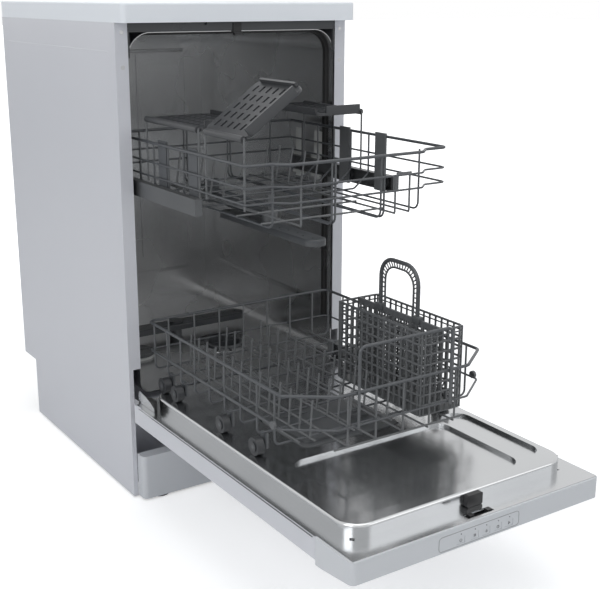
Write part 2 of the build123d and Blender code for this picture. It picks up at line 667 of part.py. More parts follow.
def hinge_covers():
    """Black bumpers over the hinge arms beside the inner door."""
    cover = rounded(*BUMPER_X, *BUMPER_Y, DOOR_TOP + SHEET + TOUCH, 200.0, 3.0)
    return mirrored(cover)


# Upper rack

def rails():
    """Two channels that run out with the rack, open towards the middle."""
    x1 = RAIL_X + 6
    x0 = RAIL_X - 6
    z0, z1 = RAIL_Z - RAIL_TALL / 2, RAIL_Z + RAIL_TALL / 2
    channel = block(x0, x1, RAIL_FRONT, UP_REAR, z0, z1)
    groove = block(x0 - 1, x1 - RAIL_WALL, RAIL_FRONT + 2, UP_REAR - 2, z0 + RAIL_WALL, z1 - RAIL_WALL)
    stop = block(x0, x1, RAIL_FRONT - 3, RAIL_FRONT, z0, z1)
    return mirrored(channel - groove + stop)


def rail_brackets():
    """Wall brackets and guide pads that carry the channels just inside the tub."""
    x_wall = TUB_HALF - TUB_WALL
    pads = []
    for y in (SEAL_Y + 12.0, 96.0):
        low = RAIL_Z - RAIL_TALL / 2 - TOUCH
        high = RAIL_Z + RAIL_TALL / 2 + TOUCH
        plate = block(x_wall - 1.6, x_wall, y, y + 26, low - 16, high + 50)
        under = block(x_wall - 9, x_wall - 1.6, y, y + 26, low - 8, low)
        over = block(x_wall - 9, x_wall - 1.6, y, y + 26, high, high + 8)
        pads += mirrored(plate + under + over)
    return pads


def rack_rollers(y, radius):
    """A pair of rollers of the upper rack, running in the channels."""
    tyre = disc(RAIL_X - 1.2, y, RAIL_Z, radius, 6.0, "X")
    return mirrored(tyre - disc(RAIL_X, y, RAIL_Z, AXLE_RADIUS + RUN, 20.0, "X"))


def up_ring(z):
    """One level of the upper rack's side: stepped front, straight sides and rear."""
    h = UP_HALF
    n = UP_HALF - 64
    m = UP_HALF - 43
    points = [(-h, UP_REAR, z), (-h, UP_STEP, z), (-m, UP_STEP, z), (-n, UP_FRONT, z),
              (n, UP_FRONT, z), (m, UP_STEP, z), (h, UP_STEP, z), (h, UP_REAR, z)]
    return points


def upper_rack():
    """Wire rack: three rings, frames along the depth, cross wires and tines."""
    wires = []
    for z, r in zip(UP_LEVELS, (RIM_WIRE, WIRE, WIRE)):
        wires.append(hoop(up_ring(z), r, 9.0))
    offset = RIM_WIRE + WIRE
    side_x = UP_HALF - 48
    slot_x = (BASKET_X[0] + BASKET_X[1]) / 2
    for x, y0 in ((-side_x, UP_STEP + offset + 4), (-48, UP_FRONT + offset),
                  (-42, UP_FRONT + offset), (42, UP_FRONT + offset), (48, UP_FRONT + offset),
                  (side_x, UP_STEP + offset + 4)):
        y1 = UP_REAR - offset
        wires.append(bent([(x, y0, UP_LEVELS[0]), (x, y0, UP_FLOOR), (x, y1, UP_FLOOR),
                           (x, y1, UP_LEVELS[0])], WIRE, 12.0))
    for y in steps(*UP_CROSS_YS, 5):
        z = UP_FLOOR + 2 * WIRE
        x = UP_HALF - offset
        wires.append(bent([(-x, y, UP_LEVELS[0]), (-x, y, z + 24), (-x + 30, y, z),
                           (x - 30, y, z), (x, y, z + 24), (x, y, UP_LEVELS[0])], WIRE, 10.0))
    for y in (-230.0, -300.0):
        z = UP_FLOOR + 2 * WIRE
        wires.append(rod((-side_x - 5, y, z), (slot_x - 12, y, z), WIRE))
    for x in (-90.0, slot_x - 12, slot_x + 16):
        z = UP_FLOOR
        wires.append(rod((x, UP_FRONT + 22, z), (x, UP_REAR - 12, z), WIRE))
        wires.append(rod((x, UP_FRONT + 22, z + WIRE), (x, UP_FRONT + 22, UP_LEVELS[2] + 20), WIRE))
    y = UP_FRONT + 22 - 2 * WIRE
    z = UP_LEVELS[2] + 22
    wires.append(rod((slot_x - 12, y, z), (slot_x + 16, y, z), WIRE))
    return wires


def upper_rack_tines():
    """Two rows of upright tines beside the spray arm."""
    pins = []
    for x in (-110.0, 66.0):
        base_z = UP_FLOOR + 4 * WIRE
        pins.append(rod((x, -240, base_z), (x, 60, base_z), WIRE))
        for y in steps(-140.0, 60.0, 6):
            if y < 55:
                pins.append(rod((x, y + 6, base_z + WIRE), (x + 10, y + 6, base_z + 62), WIRE))
    return pins


def rack_hangers():
    """Moulded side carriers of the upper rack that hold its roller axles."""
    hangers = []
    for y in (ROLLER_FRONT_Y, ROLLER_REAR_Y):
        plate = block(HANGER_X - 3.6, HANGER_X, y - 14, y + 14, RAIL_Z - 14, UP_LEVELS[0] + 6)
        axle = rod((HANGER_X - 1, y, RAIL_Z), (RAIL_X + 1, y, RAIL_Z), AXLE_RADIUS)
        hangers += mirrored(plate + axle)
    return hangers


def upper_feed():
    """Grey pipe under the upper rack: coupling at the rear, bearing at mid length."""
    z = FEED_Z
    pipe = rod((0, UP_REAR - 1, z), (0, UP_ARM_Y + 12, z), FEED_RADIUS)
    cup = rod((0, UP_REAR - 14, z), (0, UP_REAR + 0.5, z), FEED_RADIUS + 4)
    drop = disc(0, UP_ARM_Y, z - 1, 13.0, 20.0)
    clip = block(-13, 13, UP_REAR - 22, UP_REAR - 12, z + 6, UP_FLOOR - WIRE + 1.6)
    clip_front = block(-6, 6, UP_ARM_Y - 5, UP_ARM_Y + 5, z + 6, UP_FLOOR + WIRE)
    spigot = disc(0, UP_ARM_Y, z - 15, 7.0, 10.0)
    return pipe + cup + drop + clip + clip_front + spigot


def upper_spray_arm():
    """Arm under the upper rack, lying along the depth, turning on the feed pipe."""
    top = FEED_Z - 11 - TOUCH
    blade = arm_blade(UP_ARM_HALF, 11.0)
    blade = Pos(0, UP_ARM_Y, top - 15.0) * Rot(0, 0, 90) * blade
    bore = disc(0, UP_ARM_Y, top, 7.0 + RUN, 22.0)
    return blade - bore


def cup_shelf(long, width):
    """Perforated moulded shelf about its hinge edge, reaching towards -x."""
    plate = rounded(-width, -3, -long / 2, long / 2, -2.0, 2.0, 12.0)
    rows = int((width - 30) / 20) + 1
    columns = int((long - 32) / 17) + 1
    for x in steps(-width + 17, -width + 17 + (rows - 1) * 20, rows):
        for y in steps(-long / 2 + 16, long / 2 - 16, columns):
            plate = plate - (Pos(x, y, 0) * Box(13, 5.5, 8))
    reach = long / 2 - SHELF_BAR_INSET
    bar = rod((0, -reach, 0), (0, reach, 0), 5.0)
    edge = block(-width, -width + 4, -long / 2 + 14, long / 2 - 14, 0, 9)
    side = block(-width + 14, -8, -long / 2, -long / 2 + 4, 0, 14)
    return plate + bar + edge + side


def placed_shelf(side, y, long, width, tilt):
    """One cup shelf on its wire supports, tilted up from level."""
    shelf = Rot(0, tilt, 0) * cup_shelf(long, width)
    shelf = Pos(SHELF_X, y, SHELF_HINGE_Z) * shelf
    return shelf if side > 0 else mirror(shelf, about=Plane.YZ)


def shelf_posts(side, y, long):
    """Two wire posts that rise beside the rack's rings and hold a shelf's hinge bar."""
    x = side * SHELF_X
    reach = long / 2 - SHELF_BAR_INSET + WIRE + TOUCH
    low = UP_LEVELS[2] - 10
    return [rod((x, y + dy, low), (x, y + dy, SHELF_HINGE_Z + 2), WIRE) for dy in (-reach, reach)]


# Lower rack

def low_ring(z, rear):
    """One level of the lower rack: straight sides, chamfered front corners."""
    h = LOW_HALF
    return [(-h, rear, z), (-h, LOW_SHOULDER, z), (-LOW_NOSE, LOW_FRONT, z),
            (LOW_NOSE, LOW_FRONT, z), (h, LOW_SHOULDER, z), (h, rear, z)]


def lower_rack():
    """Wire rack: rim and rail rings, floor grid, uprights, tines and front handle."""
    wires = []
    gap = RIM_WIRE + WIRE
    wires.append(hoop(low_ring(LOW_TOP, LOW_REAR), RIM_WIRE, 12.0))
    wires.append(hoop(low_ring(LOW_MID, LOW_REAR), WIRE, 12.0))
    inner = LOW_HALF - gap
    floor_front = LOW_FRONT + gap + WIRE
    for y in steps(-400.0, -16.0, 9):
        z = LOW_FLOOR
        wires.append(bent([(-inner, y, LOW_TOP), (-inner, y, z), (inner, y, z),
                           (inner, y, LOW_TOP)], WIRE, 9.0))
    for x in steps(35 - LOW_HALF, LOW_HALF - 35, 7):
        z = LOW_FLOOR + 2 * WIRE
        y0 = floor_front if abs(x) < LOW_NOSE else LOW_SHOULDER + 6
        if BASKET_X[0] - 5 < x < BASKET_X[1] + 5:
            wires.append(rod((x, BASKET_Y[1] + 10, z), (x, LOW_REAR - gap, z), WIRE))
            wires.append(rod((x, y0, LOW_FLOOR - 2 * WIRE), (x, BASKET_Y[1] + 4, LOW_FLOOR - 2 * WIRE),
                             WIRE))
        else:
            wires.append(rod((x, y0, z), (x, LOW_REAR - gap, z), WIRE))
        wires.append(rod((x, LOW_REAR - gap, z + WIRE), (x, LOW_REAR - gap, LOW_TOP), WIRE))
        if abs(x) < LOW_NOSE:
            wires.append(rod((x, LOW_FRONT + gap, LOW_FLOOR + 4), (x, LOW_FRONT + gap, LOW_TOP), WIRE))
    wires.append(rod((-LOW_NOSE, LOW_FRONT + gap + 2 * WIRE, LOW_FLOOR),
                     (LOW_NOSE, LOW_FRONT + gap + 2 * WIRE, LOW_FLOOR), WIRE))
    return wires


def rack_handle():
    """Raised front rail of the lower rack on its doubled uprights."""
    y = LOW_FRONT - RIM_WIRE - WIRE
    loop = bent([(-87, y, LOW_MID - 3), (-87, y, HANDLE_Z), (83, y, HANDLE_Z),
                 (83, y, LOW_MID - 3)], 2.2, 10.0)
    return loop


def plate_tines():
    """Rows of plate tines, hooked on the floor wires."""
    pins = []
    for x in (-128.0, -58.0, 12.0):
        z = LOW_FLOOR + 2 * WIRE
        pins.append(rod((x, LOW_SHOULDER - 2, z), (x, LOW_REAR - 26, z), WIRE))
        for y in steps(-412.0, -44.0, 14):
            pins.append(rod((x, y, z + WIRE), (x, y - 6, z + 60), WIRE))
    return pins


def wheel_pair(y):
    """Left and right rollers of the lower rack at one place along its length."""
    pair = []
    for side in (-1, 1):
        x = side * WHEEL_X
        tyre = disc(x - side * 1.5, y, WHEEL_Z, WHEEL_RADIUS, WHEEL_WIDE, "X")
        hub = disc(x - side * 1.5, y, WHEEL_Z, 8.0, WHEEL_WIDE + 3, "X")
        bore = disc(x, y, WHEEL_Z, AXLE_RADIUS + RUN, 40, "X")
        pair.append(tyre + hub - bore)
    return pair


def wheel_carriers():
    """Moulded clips on the lower rack that carry the wheel axles."""
    clips = []
    for y in WHEEL_YS:
        for side in (-1, 1):
            x = side * (WHEEL_X - 15)
            plate = block(x - 2.5, x + 2.5, y - 7, y + 7, WHEEL_Z - 6, LOW_FLOOR - WIRE - TOUCH)
            axle = rod((x, y, WHEEL_Z), (side * (WHEEL_X + 6), y, WHEEL_Z), AXLE_RADIUS)
            clips.append(plate + axle)
    return clips


def rack_bumpers():
    """Round buffers outside the lower rack's sides that guide it along the door."""
    x = LOW_HALF + WIRE + TOUCH + 2.2
    return mirrored(disc(x, CARRY_Y, CARRY_Z, 6.0, 4.4, "X"))


def cutlery_basket():
    """Lattice basket with a centre divider and cross walls."""
    x0, x1 = BASKET_X
    y0, y1 = BASKET_Y
    z0, z1 = BASKET_Z
    wall = 2.0
    shell = rounded(x0, x1, y0, y1, z0, z1, 8.0)
    shell = shell - rounded(x0 + wall, x1 - wall, y0 + wall, y1 - wall, z0 + wall, z1 + 1, 6.0)
    middle = (x0 + x1) / 2
    shell = shell + block(middle - 1, middle + 1, y0 + 1, y1 - 1, z0 + 1, z1)
    for y in steps(y0, y1, 5)[1:-1]:
        shell = shell + block(x0 + 1, x1 - 1, y - 1, y + 1, z0 + 1, z1 - 24)
    for z in steps(z0 + 24, z1 - 26, 4):
        for y in steps(y0 + 18, y1 - 18, 9):
            shell = shell - block(x0 - 1, x0 + 3, y - 6, y + 6, z - 8, z + 8)
            shell = shell - block(x1 - 3, x1 + 1, y - 6, y + 6, z - 8, z + 8)
        for x in steps(x0 + 14, x1 - 14, 4):
            shell = shell - block(x - 5, x + 5, y0 - 1, y0 + 3, z - 8, z + 8)
            shell = shell - block(x - 5, x + 5, y1 - 3, y1 + 1, z - 8, z + 8)
    return shell


def basket_handle():
    """Arched carrying handle clipped on the basket's centre divider."""
    middle = (BASKET_X[0] + BASKET_X[1]) / 2
    z = BASKET_Z[1] + TOUCH
    path = [(middle, -285, z), (middle, -285, ARCH_TOP - 6), (middle, -378, ARCH_TOP - 6),
            (middle, -378, z)]
    return bent(path, 4.0, 30.0)


def build():
    """Make and write every sub-part."""
    right = side_panel()
    save("worktop", worktop())
    save("side_panel_right", right)
    save("side_panel_left", mirror(right, about=Plane.YZ))
    save("rear_panel", rear_panel())
    save("front_frame", front_frame())
    save("hinge_carriers", hinge_carriers(), door_springs())
    save("tub", tub())
    save("tub_gasket", tub_gasket())
    save("latch_hook", latch_hook())
    save("base_tray", base_tray())
    save("base_ballast", base_ballast())
    save("plinth", plinth())
    save("foot_front_left", foot(-FOOT_X, FOOT_FRONT_Y))
    save("foot_front_right", foot(FOOT_X, FOOT_FRONT_Y))
    save("rear_feet", foot(-FOOT_X, FOOT_REAR_Y), foot(FOOT_X, FOOT_REAR_Y))
    save("sump", sump())
    save("fine_filter", fine_filter())
    save("coarse_filter", coarse_filter())
    save("salt_container", salt_container())
    save("salt_cap", salt_cap())
    save("wash_pump", wash_pump())
    save("drain_pump", drain_pump())
    save("feed_pipes", rear_feed_pipe(), arm_bearing())
    save("air_break_tank", air_break_tank())
    save("inlet_valve", inlet_valve())
    save("drain_spigot", drain_spigot())
    save("power_inlet", power_inlet())
    save("lower_spray_arm", lower_spray_arm())
    save("rail_brackets", rail_brackets())
    save("door_outer_panel", door_outer_panel())
    save("console", console())
    for name, x in zip(("power", "program", "half_load", "delay", "start"), BUTTON_XS):
        save(f"button_{name}", button(x))
    save("control_board", control_board())
    save("door_liner", door_liner())
    save("dispenser_body", dispenser_body())
    save("dispenser_lid", dispenser_lid())
    save("rinse_cap", rinse_cap())
    save("door_latch", *door_latch())
    save("hinge_arms", hinge_arms())
    save("door_seal_and_bumpers", door_seal(), hinge_covers())
    save("upper_rails", rails())
    save("rack_rollers_front", rack_rollers(ROLLER_FRONT_Y, ROLLER_RADIUS))
    save("rack_rollers_rear", rack_rollers(ROLLER_REAR_Y, ROLLER_RADIUS))
    save("upper_rack", upper_rack(), upper_rack_tines(), rack_hangers(),
         shelf_posts(1, *RIGHT_SHELF[:2]), shelf_posts(-1, *LEFT_FRONT_SHELF[:2]),
         shelf_posts(-1, *LEFT_REAR_SHELF[:2]))
    save("upper_feed", upper_feed())
    save("upper_spray_arm", upper_spray_arm())
    save("cup_shelf_right", placed_shelf(1, *RIGHT_SHELF))
    save("cup_shelf_left_front", placed_shelf(-1, *LEFT_FRONT_SHELF))
    save("cup_shelf_left_rear", placed_shelf(-1, *LEFT_REAR_SHELF))
    save("lower_rack", lower_rack(), rack_handle(), plate_tines(), wheel_carriers())
    save("rack_bumpers", rack_bumpers())
    for number, y in enumerate(WHEEL_YS, start=1):
        save(f"rack_wheels_{number}", wheel_pair(y))
    save("cutlery_basket", cutlery_basket(), basket_handle())


build()
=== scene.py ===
"""Looks of a slimline dishwasher that stands with its door down and both racks out.

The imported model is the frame: every piece made here rides on one of its bodies.
"""
from __future__ import annotations

import logging
import math
from dataclasses import dataclass, field
from enum import Enum

import bmesh
import bpy
from mathutils import Matrix, Vector


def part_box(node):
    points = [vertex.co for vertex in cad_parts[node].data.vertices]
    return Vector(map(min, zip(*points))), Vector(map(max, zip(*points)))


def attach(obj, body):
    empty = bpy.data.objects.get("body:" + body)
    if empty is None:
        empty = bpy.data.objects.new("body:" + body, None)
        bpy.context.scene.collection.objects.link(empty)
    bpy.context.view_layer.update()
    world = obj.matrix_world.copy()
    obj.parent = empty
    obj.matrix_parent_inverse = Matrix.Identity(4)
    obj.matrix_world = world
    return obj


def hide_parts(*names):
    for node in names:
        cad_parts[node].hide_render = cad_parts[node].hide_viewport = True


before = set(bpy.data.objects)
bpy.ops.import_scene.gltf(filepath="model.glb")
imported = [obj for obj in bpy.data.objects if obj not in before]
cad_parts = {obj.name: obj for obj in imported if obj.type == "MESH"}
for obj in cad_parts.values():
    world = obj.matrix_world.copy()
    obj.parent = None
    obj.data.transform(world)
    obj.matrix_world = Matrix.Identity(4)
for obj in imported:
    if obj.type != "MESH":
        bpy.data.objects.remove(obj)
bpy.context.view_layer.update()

LOG = logging.getLogger("dishwasher")
MM = 0.001
RELIEF_DEPTH = 0.4 * MM
COAT_ROUGHNESS = 0.15
SHARP_DEGREES = 38
PIN_INSET = 10.0 * MM
WHITE = (1.0, 1.0, 1.0, 1.0)

Point = tuple[float, float, float]
Colour = tuple[float, float, float]


class Side(Enum):
    """The two sides of the machine, seen from the front."""

    LEFT = -1.0
    RIGHT = 1.0


class StudShape(Enum):
    """What a stud field sets on each of its points."""

    HEAD = "cylinder"
    TIP = "ball"
    BAR = "box"


class Key(Enum):
    """The five keys, in their order across the door."""

    POWER = "power"
    PROGRAM = "program"
    HALF_LOAD = "half_load"
    DELAY = "delay"
    START = "start"


class Graph:
    """A thin wrapper that adds and links nodes of one node tree."""

    def __init__(self, tree: bpy.types.NodeTree) -> None:
        """Keep the tree that the nodes go into."""
        self.tree = tree

    def add(self, kind: str, sockets: dict[str, object] | None = None,
            **settings: object) -> bpy.types.Node:
        """Add a node.

        Args:
            kind: The node's type name.
            sockets: Values of its input sockets.
            settings: Properties set on the node.

        Returns:
            The new node.
        """
        node = self.tree.nodes.new(kind)
        for key, value in settings.items():
            setattr(node, key, value)
        self.fill(node, sockets or {})
        return node

    def fill(self, node: bpy.types.Node, sockets: dict[str, object]) -> None:
        """Set the values of a node's input sockets."""
        for key, value in sockets.items():
            node.inputs[key].default_value = value

    def link(self, *runs: tuple[bpy.types.Node, str, bpy.types.Node, str | int]) -> None:
        """Join outputs to inputs, each run as node, output, node, input."""
        for source, output, target, slot in runs:
            self.tree.links.new(source.outputs[output], target.inputs[slot])


def new_group(name: str, inputs: dict[str, float], outputs: tuple[str, ...]) -> Graph:
    """Start a shader node group with float sockets.

    Args:
        name: The group's name.
        inputs: Socket name and its usual value.
        outputs: Output socket names.

    Returns:
        The graph, with its input and output nodes as its first two nodes.
    """
    tree = bpy.data.node_groups.new(name, "ShaderNodeTree")
    for key, value in inputs.items():
        socket = tree.interface.new_socket(name=key, in_out="INPUT", socket_type="NodeSocketFloat")
        socket.default_value = value
    for key in outputs:
        tree.interface.new_socket(name=key, in_out="OUTPUT", socket_type="NodeSocketFloat")
    graph = Graph(tree)
    graph.add("NodeGroupInput")
    graph.add("NodeGroupOutput")
    return graph


def grain_group() -> bpy.types.NodeTree:
    """Build the rolling grain of sheet metal.

    Returns:
        A group with the outputs Shade and Height, both about 0 to 1.
    """
    graph = new_group("rolled_grain", {"Across": 900.0, "Along": 14.0}, ("Shade", "Height"))
    given, out = graph.tree.nodes[0], graph.tree.nodes[1]
    coordinates = graph.add("ShaderNodeTexCoord")
    scale = graph.add("ShaderNodeCombineXYZ")
    stretch = graph.add("ShaderNodeVectorMath", operation="MULTIPLY")
    fine = graph.add("ShaderNodeTexNoise", {"Scale": 1.0, "Detail": 3.0})
    broad = graph.add("ShaderNodeTexNoise", {"Scale": 5.0, "Detail": 2.0})
    graph.link((given, "Across", scale, "X"), (given, "Along", scale, "Y"),
               (given, "Across", scale, "Z"), (coordinates, "Object", stretch, 0),
               (scale, "Vector", stretch, 1), (stretch, "Vector", fine, "Vector"),
               (coordinates, "Object", broad, "Vector"), (broad, "Fac", out, "Shade"),
               (fine, "Fac", out, "Height"))
    return graph.tree


def texture_group() -> bpy.types.NodeTree:
    """Build the fine pebble of mould texture and paint.

    Returns:
        A group with the outputs Shade, a slow drift, and Height, the fine pebble.
    """
    graph = new_group("fine_pebble", {"Size": 1400.0, "Drift": 7.0}, ("Shade", "Height"))
    given, out = graph.tree.nodes[0], graph.tree.nodes[1]
    coordinates = graph.add("ShaderNodeTexCoord")
    pebble = graph.add("ShaderNodeTexNoise", {"Detail": 2.0})
    drift = graph.add("ShaderNodeTexNoise", {"Detail": 3.0})
    graph.link((given, "Size", pebble, "Scale"), (given, "Drift", drift, "Scale"),
               (coordinates, "Object", pebble, "Vector"),
               (coordinates, "Object", drift, "Vector"), (drift, "Fac", out, "Shade"),
               (pebble, "Fac", out, "Height"))
    return graph.tree


def wear_group() -> bpy.types.NodeTree:
    """Build the mask of rubbed edges.

    Returns:
        A group whose output Mask is 1 on sharp outer edges and 0 on flats.
    """
    graph = new_group("edge_wear", {"Start": 0.52, "End": 0.62}, ("Mask",))
    given, out = graph.tree.nodes[0], graph.tree.nodes[1]
    geometry = graph.add("ShaderNodeNewGeometry")
    ramp = graph.add("ShaderNodeMapRange")
    graph.link((geometry, "Pointiness", ramp, "Value"), (given, "Start", ramp, "From Min"),
               (given, "End", ramp, "From Max"), (ramp, "Result", out, "Mask"))
    return graph.tree


GROUPS: dict[str, bpy.types.NodeTree] = {}


@dataclass(frozen=True)
class Finish:
    """One surface finish: colours, gloss and the relief that the real one shows.

    Attributes:
        name: The material's name.
        colour: Main colour, linear.
        tint: Colour that the slow drift leans to.
        rough: Roughness, and its change over the surface.
        metallic: 1 for bare metal.
        relief: Bump strength.
        group: Which shared group gives shade and relief.
        scales: Values of the group's inputs.
        worn: Colour of rubbed edges, or None.
        coat: Clear coat weight.
    """

    name: str
    colour: Colour
    tint: Colour
    rough: tuple[float, float]
    metallic: float = 0.0
    relief: float = 0.05
    group: str = "fine_pebble"
    scales: tuple[float, float] = (1400.0, 7.0)
    worn: Colour | None = None
    coat: float = 0.0

    def material(self) -> bpy.types.Material:
        """Make the material once.

        Returns:
            The material of this finish.
        """
        found = bpy.data.materials.get(self.name)
        if found:
            return found
        made = bpy.data.materials.new(self.name)
        made.use_nodes = True
        made.diffuse_color = (*self.colour, 1.0)
        graph = Graph(made.node_tree)
        shader = made.node_tree.nodes["Principled BSDF"]
        graph.fill(shader, {"Metallic": self.metallic, "Coat Weight": self.coat,
                            "Coat Roughness": COAT_ROUGHNESS})
        group = graph.add("ShaderNodeGroup", node_tree=GROUPS[self.group])
        for socket, value in zip(group.inputs, self.scales):
            socket.default_value = value
        mix = graph.add("ShaderNodeMix", {"A": (*self.colour, 1.0), "B": (*self.tint, 1.0)},
                        data_type="RGBA")
        top = self._rub(graph, mix) if self.worn else mix
        mean, swing = self.rough
        spread = graph.add("ShaderNodeMapRange", {"To Min": mean - swing, "To Max": mean + swing})
        bump = graph.add("ShaderNodeBump", {"Strength": self.relief, "Distance": RELIEF_DEPTH})
        graph.link((group, "Shade", mix, "Factor"), (top, "Result", shader, "Base Color"),
                   (group, "Shade", spread, "Value"), (spread, "Result", shader, "Roughness"),
                   (group, "Height", bump, "Height"), (bump, "Normal", shader, "Normal"))
        return made

    def _rub(self, graph: Graph, under: bpy.types.Node) -> bpy.types.Node:
        """Lay the rubbed edge colour over the main colour.

        Args:
            graph: The material's graph.
            under: The node whose Result is the colour so far.

        Returns:
            The node whose Result is the colour with rubbed edges.
        """
        wear = graph.add("ShaderNodeGroup", node_tree=GROUPS["edge_wear"])
        over = graph.add("ShaderNodeMix", {"B": (*self.worn, 1.0)}, data_type="RGBA")
        graph.link((wear, "Mask", over, "Factor"), (under, "Result", over, "A"))
        return over


ENAMEL = Finish("white_enamel_paint", (0.69, 0.695, 0.735), (0.655, 0.665, 0.71), (0.34, 0.04),
                relief=0.06, scales=(900.0, 3.0), coat=0.25)
LAMINATE = Finish("white_laminate_board", (0.86, 0.89, 0.93), (0.83, 0.865, 0.91), (0.42, 0.05),
                  relief=0.10, scales=(1800.0, 4.0))
WHITE_PLASTIC = Finish("white_moulding", (0.67, 0.685, 0.71), (0.64, 0.66, 0.69), (0.30, 0.05),
                       relief=0.04, scales=(1600.0, 6.0), coat=0.2)
STAINLESS = Finish("stainless_sheet", (0.60, 0.61, 0.62), (0.53, 0.54, 0.55), (0.20, 0.05),
                   metallic=1.0, relief=0.05, group="rolled_grain", scales=(700.0, 10.0))
TUB_STEEL = Finish("tub_stainless", (0.56, 0.565, 0.57), (0.46, 0.465, 0.47), (0.27, 0.07),
                   metallic=1.0, relief=0.06, group="rolled_grain", scales=(500.0, 8.0))
ZINC = Finish("zinc_plate", (0.50, 0.51, 0.52), (0.40, 0.41, 0.43), (0.38, 0.10),
              metallic=1.0, relief=0.05, scales=(260.0, 45.0), worn=(0.62, 0.62, 0.63))
COATED_WIRE = Finish("nylon_coated_wire", (0.088, 0.094, 0.102), (0.066, 0.071, 0.078),
                     (0.34, 0.06), relief=0.12, scales=(1200.0, 30.0), worn=(0.14, 0.145, 0.15))
GREY_PLASTIC = Finish("grey_moulding", (0.070, 0.075, 0.081), (0.050, 0.054, 0.059),
                      (0.42, 0.07), relief=0.14, scales=(1500.0, 20.0), worn=(0.12, 0.125, 0.13))
RAIL_STEEL = Finish("dull_rail_steel", (0.17, 0.175, 0.18), (0.12, 0.125, 0.13), (0.42, 0.08),
                    metallic=0.7, relief=0.06, group="rolled_grain", scales=(600.0, 9.0))
BLACK_PLASTIC = Finish("black_moulding", (0.018, 0.018, 0.020), (0.012, 0.012, 0.013),
                       (0.38, 0.08), relief=0.12, scales=(1500.0, 22.0))
RUBBER = Finish("black_seal_rubber", (0.020, 0.020, 0.021), (0.028, 0.028, 0.028), (0.62, 0.08),
                relief=0.18, scales=(1100.0, 30.0))
LIGHT_PLASTIC = Finish("natural_moulding", (0.62, 0.63, 0.62), (0.55, 0.56, 0.55), (0.45, 0.06),
                       relief=0.10, scales=(1300.0, 18.0))
DARK_PLASTIC = Finish("charcoal_moulding", (0.032, 0.034, 0.038), (0.022, 0.024, 0.027),
                      (0.42, 0.07), relief=0.14, scales=(1500.0, 20.0),
                      worn=(0.06, 0.062, 0.066))
DARK_STEEL = Finish("shaded_head_steel", (0.085, 0.088, 0.092), (0.060, 0.062, 0.065),
                    (0.30, 0.08), metallic=0.8, relief=0.05, group="rolled_grain",
                    scales=(500.0, 8.0))
BOARD = Finish("circuit_board", (0.03, 0.12, 0.06), (0.02, 0.09, 0.045), (0.40, 0.10),
               relief=0.10, scales=(700.0, 120.0))
CAST_WEIGHT = Finish("cast_mineral_weight", (0.30, 0.30, 0.29), (0.20, 0.20, 0.195),
                     (0.85, 0.08), relief=0.7, scales=(420.0, 60.0))
PRINT = Finish("grey_key_print", (0.065, 0.068, 0.072), (0.085, 0.088, 0.092), (0.45, 0.05),
               relief=0.02, scales=(2000.0, 60.0))

NODE_FINISH: dict[str, Finish] = {
    "worktop": LAMINATE, "side_panel_left": ENAMEL, "side_panel_right": ENAMEL,
    "rear_panel": ENAMEL, "front_frame": DARK_STEEL, "hinge_carriers": ZINC, "tub": TUB_STEEL,
    "tub_gasket": RUBBER, "latch_hook": BLACK_PLASTIC, "base_tray": BLACK_PLASTIC,
    "base_ballast": CAST_WEIGHT, "plinth": WHITE_PLASTIC, "foot_front_left": BLACK_PLASTIC,
    "foot_front_right": BLACK_PLASTIC, "rear_feet": BLACK_PLASTIC, "sump": GREY_PLASTIC,
    "fine_filter": STAINLESS, "coarse_filter": GREY_PLASTIC, "salt_container": LIGHT_PLASTIC,
    "salt_cap": GREY_PLASTIC, "wash_pump": BLACK_PLASTIC, "drain_pump": BLACK_PLASTIC,
    "feed_pipes": GREY_PLASTIC, "air_break_tank": LIGHT_PLASTIC, "inlet_valve": LIGHT_PLASTIC,
    "drain_spigot": GREY_PLASTIC, "power_inlet": BLACK_PLASTIC,
    "lower_spray_arm": GREY_PLASTIC, "rail_brackets": LIGHT_PLASTIC,
    "door_outer_panel": ENAMEL, "console": WHITE_PLASTIC, "control_board": BOARD,
    "door_liner": STAINLESS, "dispenser_body": GREY_PLASTIC, "dispenser_lid": GREY_PLASTIC,
    "rinse_cap": GREY_PLASTIC, "door_latch": BLACK_PLASTIC, "hinge_arms": ZINC,
    "door_seal_and_bumpers": RUBBER, "upper_rails": RAIL_STEEL, "upper_rack": COATED_WIRE,
    "upper_feed": GREY_PLASTIC, "upper_spray_arm": GREY_PLASTIC, "lower_rack": COATED_WIRE,
    "rack_bumpers": GREY_PLASTIC, "cutlery_basket": GREY_PLASTIC,
}


def finish_of(node: str) -> Finish:
    """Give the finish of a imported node, by its name or its family.

    Args:
        node: The node's name.

    Returns:
        Its finish.
    """
    if node in NODE_FINISH:
        return NODE_FINISH[node]
    if node.startswith("button_"):
        return WHITE_PLASTIC
    if node.startswith(("cup_shelf_", "rack_wheels_", "rack_rollers_")):
        return DARK_PLASTIC
    return GREY_PLASTIC


def dress_frame() -> None:
    """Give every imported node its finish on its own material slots."""
    for name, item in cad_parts.items():
        material = finish_of(name).material()
        if not item.material_slots:
            item.data.materials.append(material)
        for slot in item.material_slots:
            slot.material = material
        LOG.info("dressed %s", name)


def solid(name: str, bm: bmesh.types.BMesh, finish: Finish, body: str,
          smooth: bool = True) -> bpy.types.Object:
    """Turn a finished bmesh into a piece that rides on a body.

    Args:
        name: The piece's name.
        bm: Its mesh, already in place, in metres.
        finish: Its finish.
        body: The body it rides on.
        smooth: Whether faces are smooth, with sharp edges kept.

    Returns:
        The new object.
    """
    bmesh.ops.recalc_face_normals(bm, faces=bm.faces)
    mesh = bpy.data.meshes.new(name)
    bm.to_mesh(mesh)
    bm.free()
    return placed(name, mesh, finish, body, smooth)


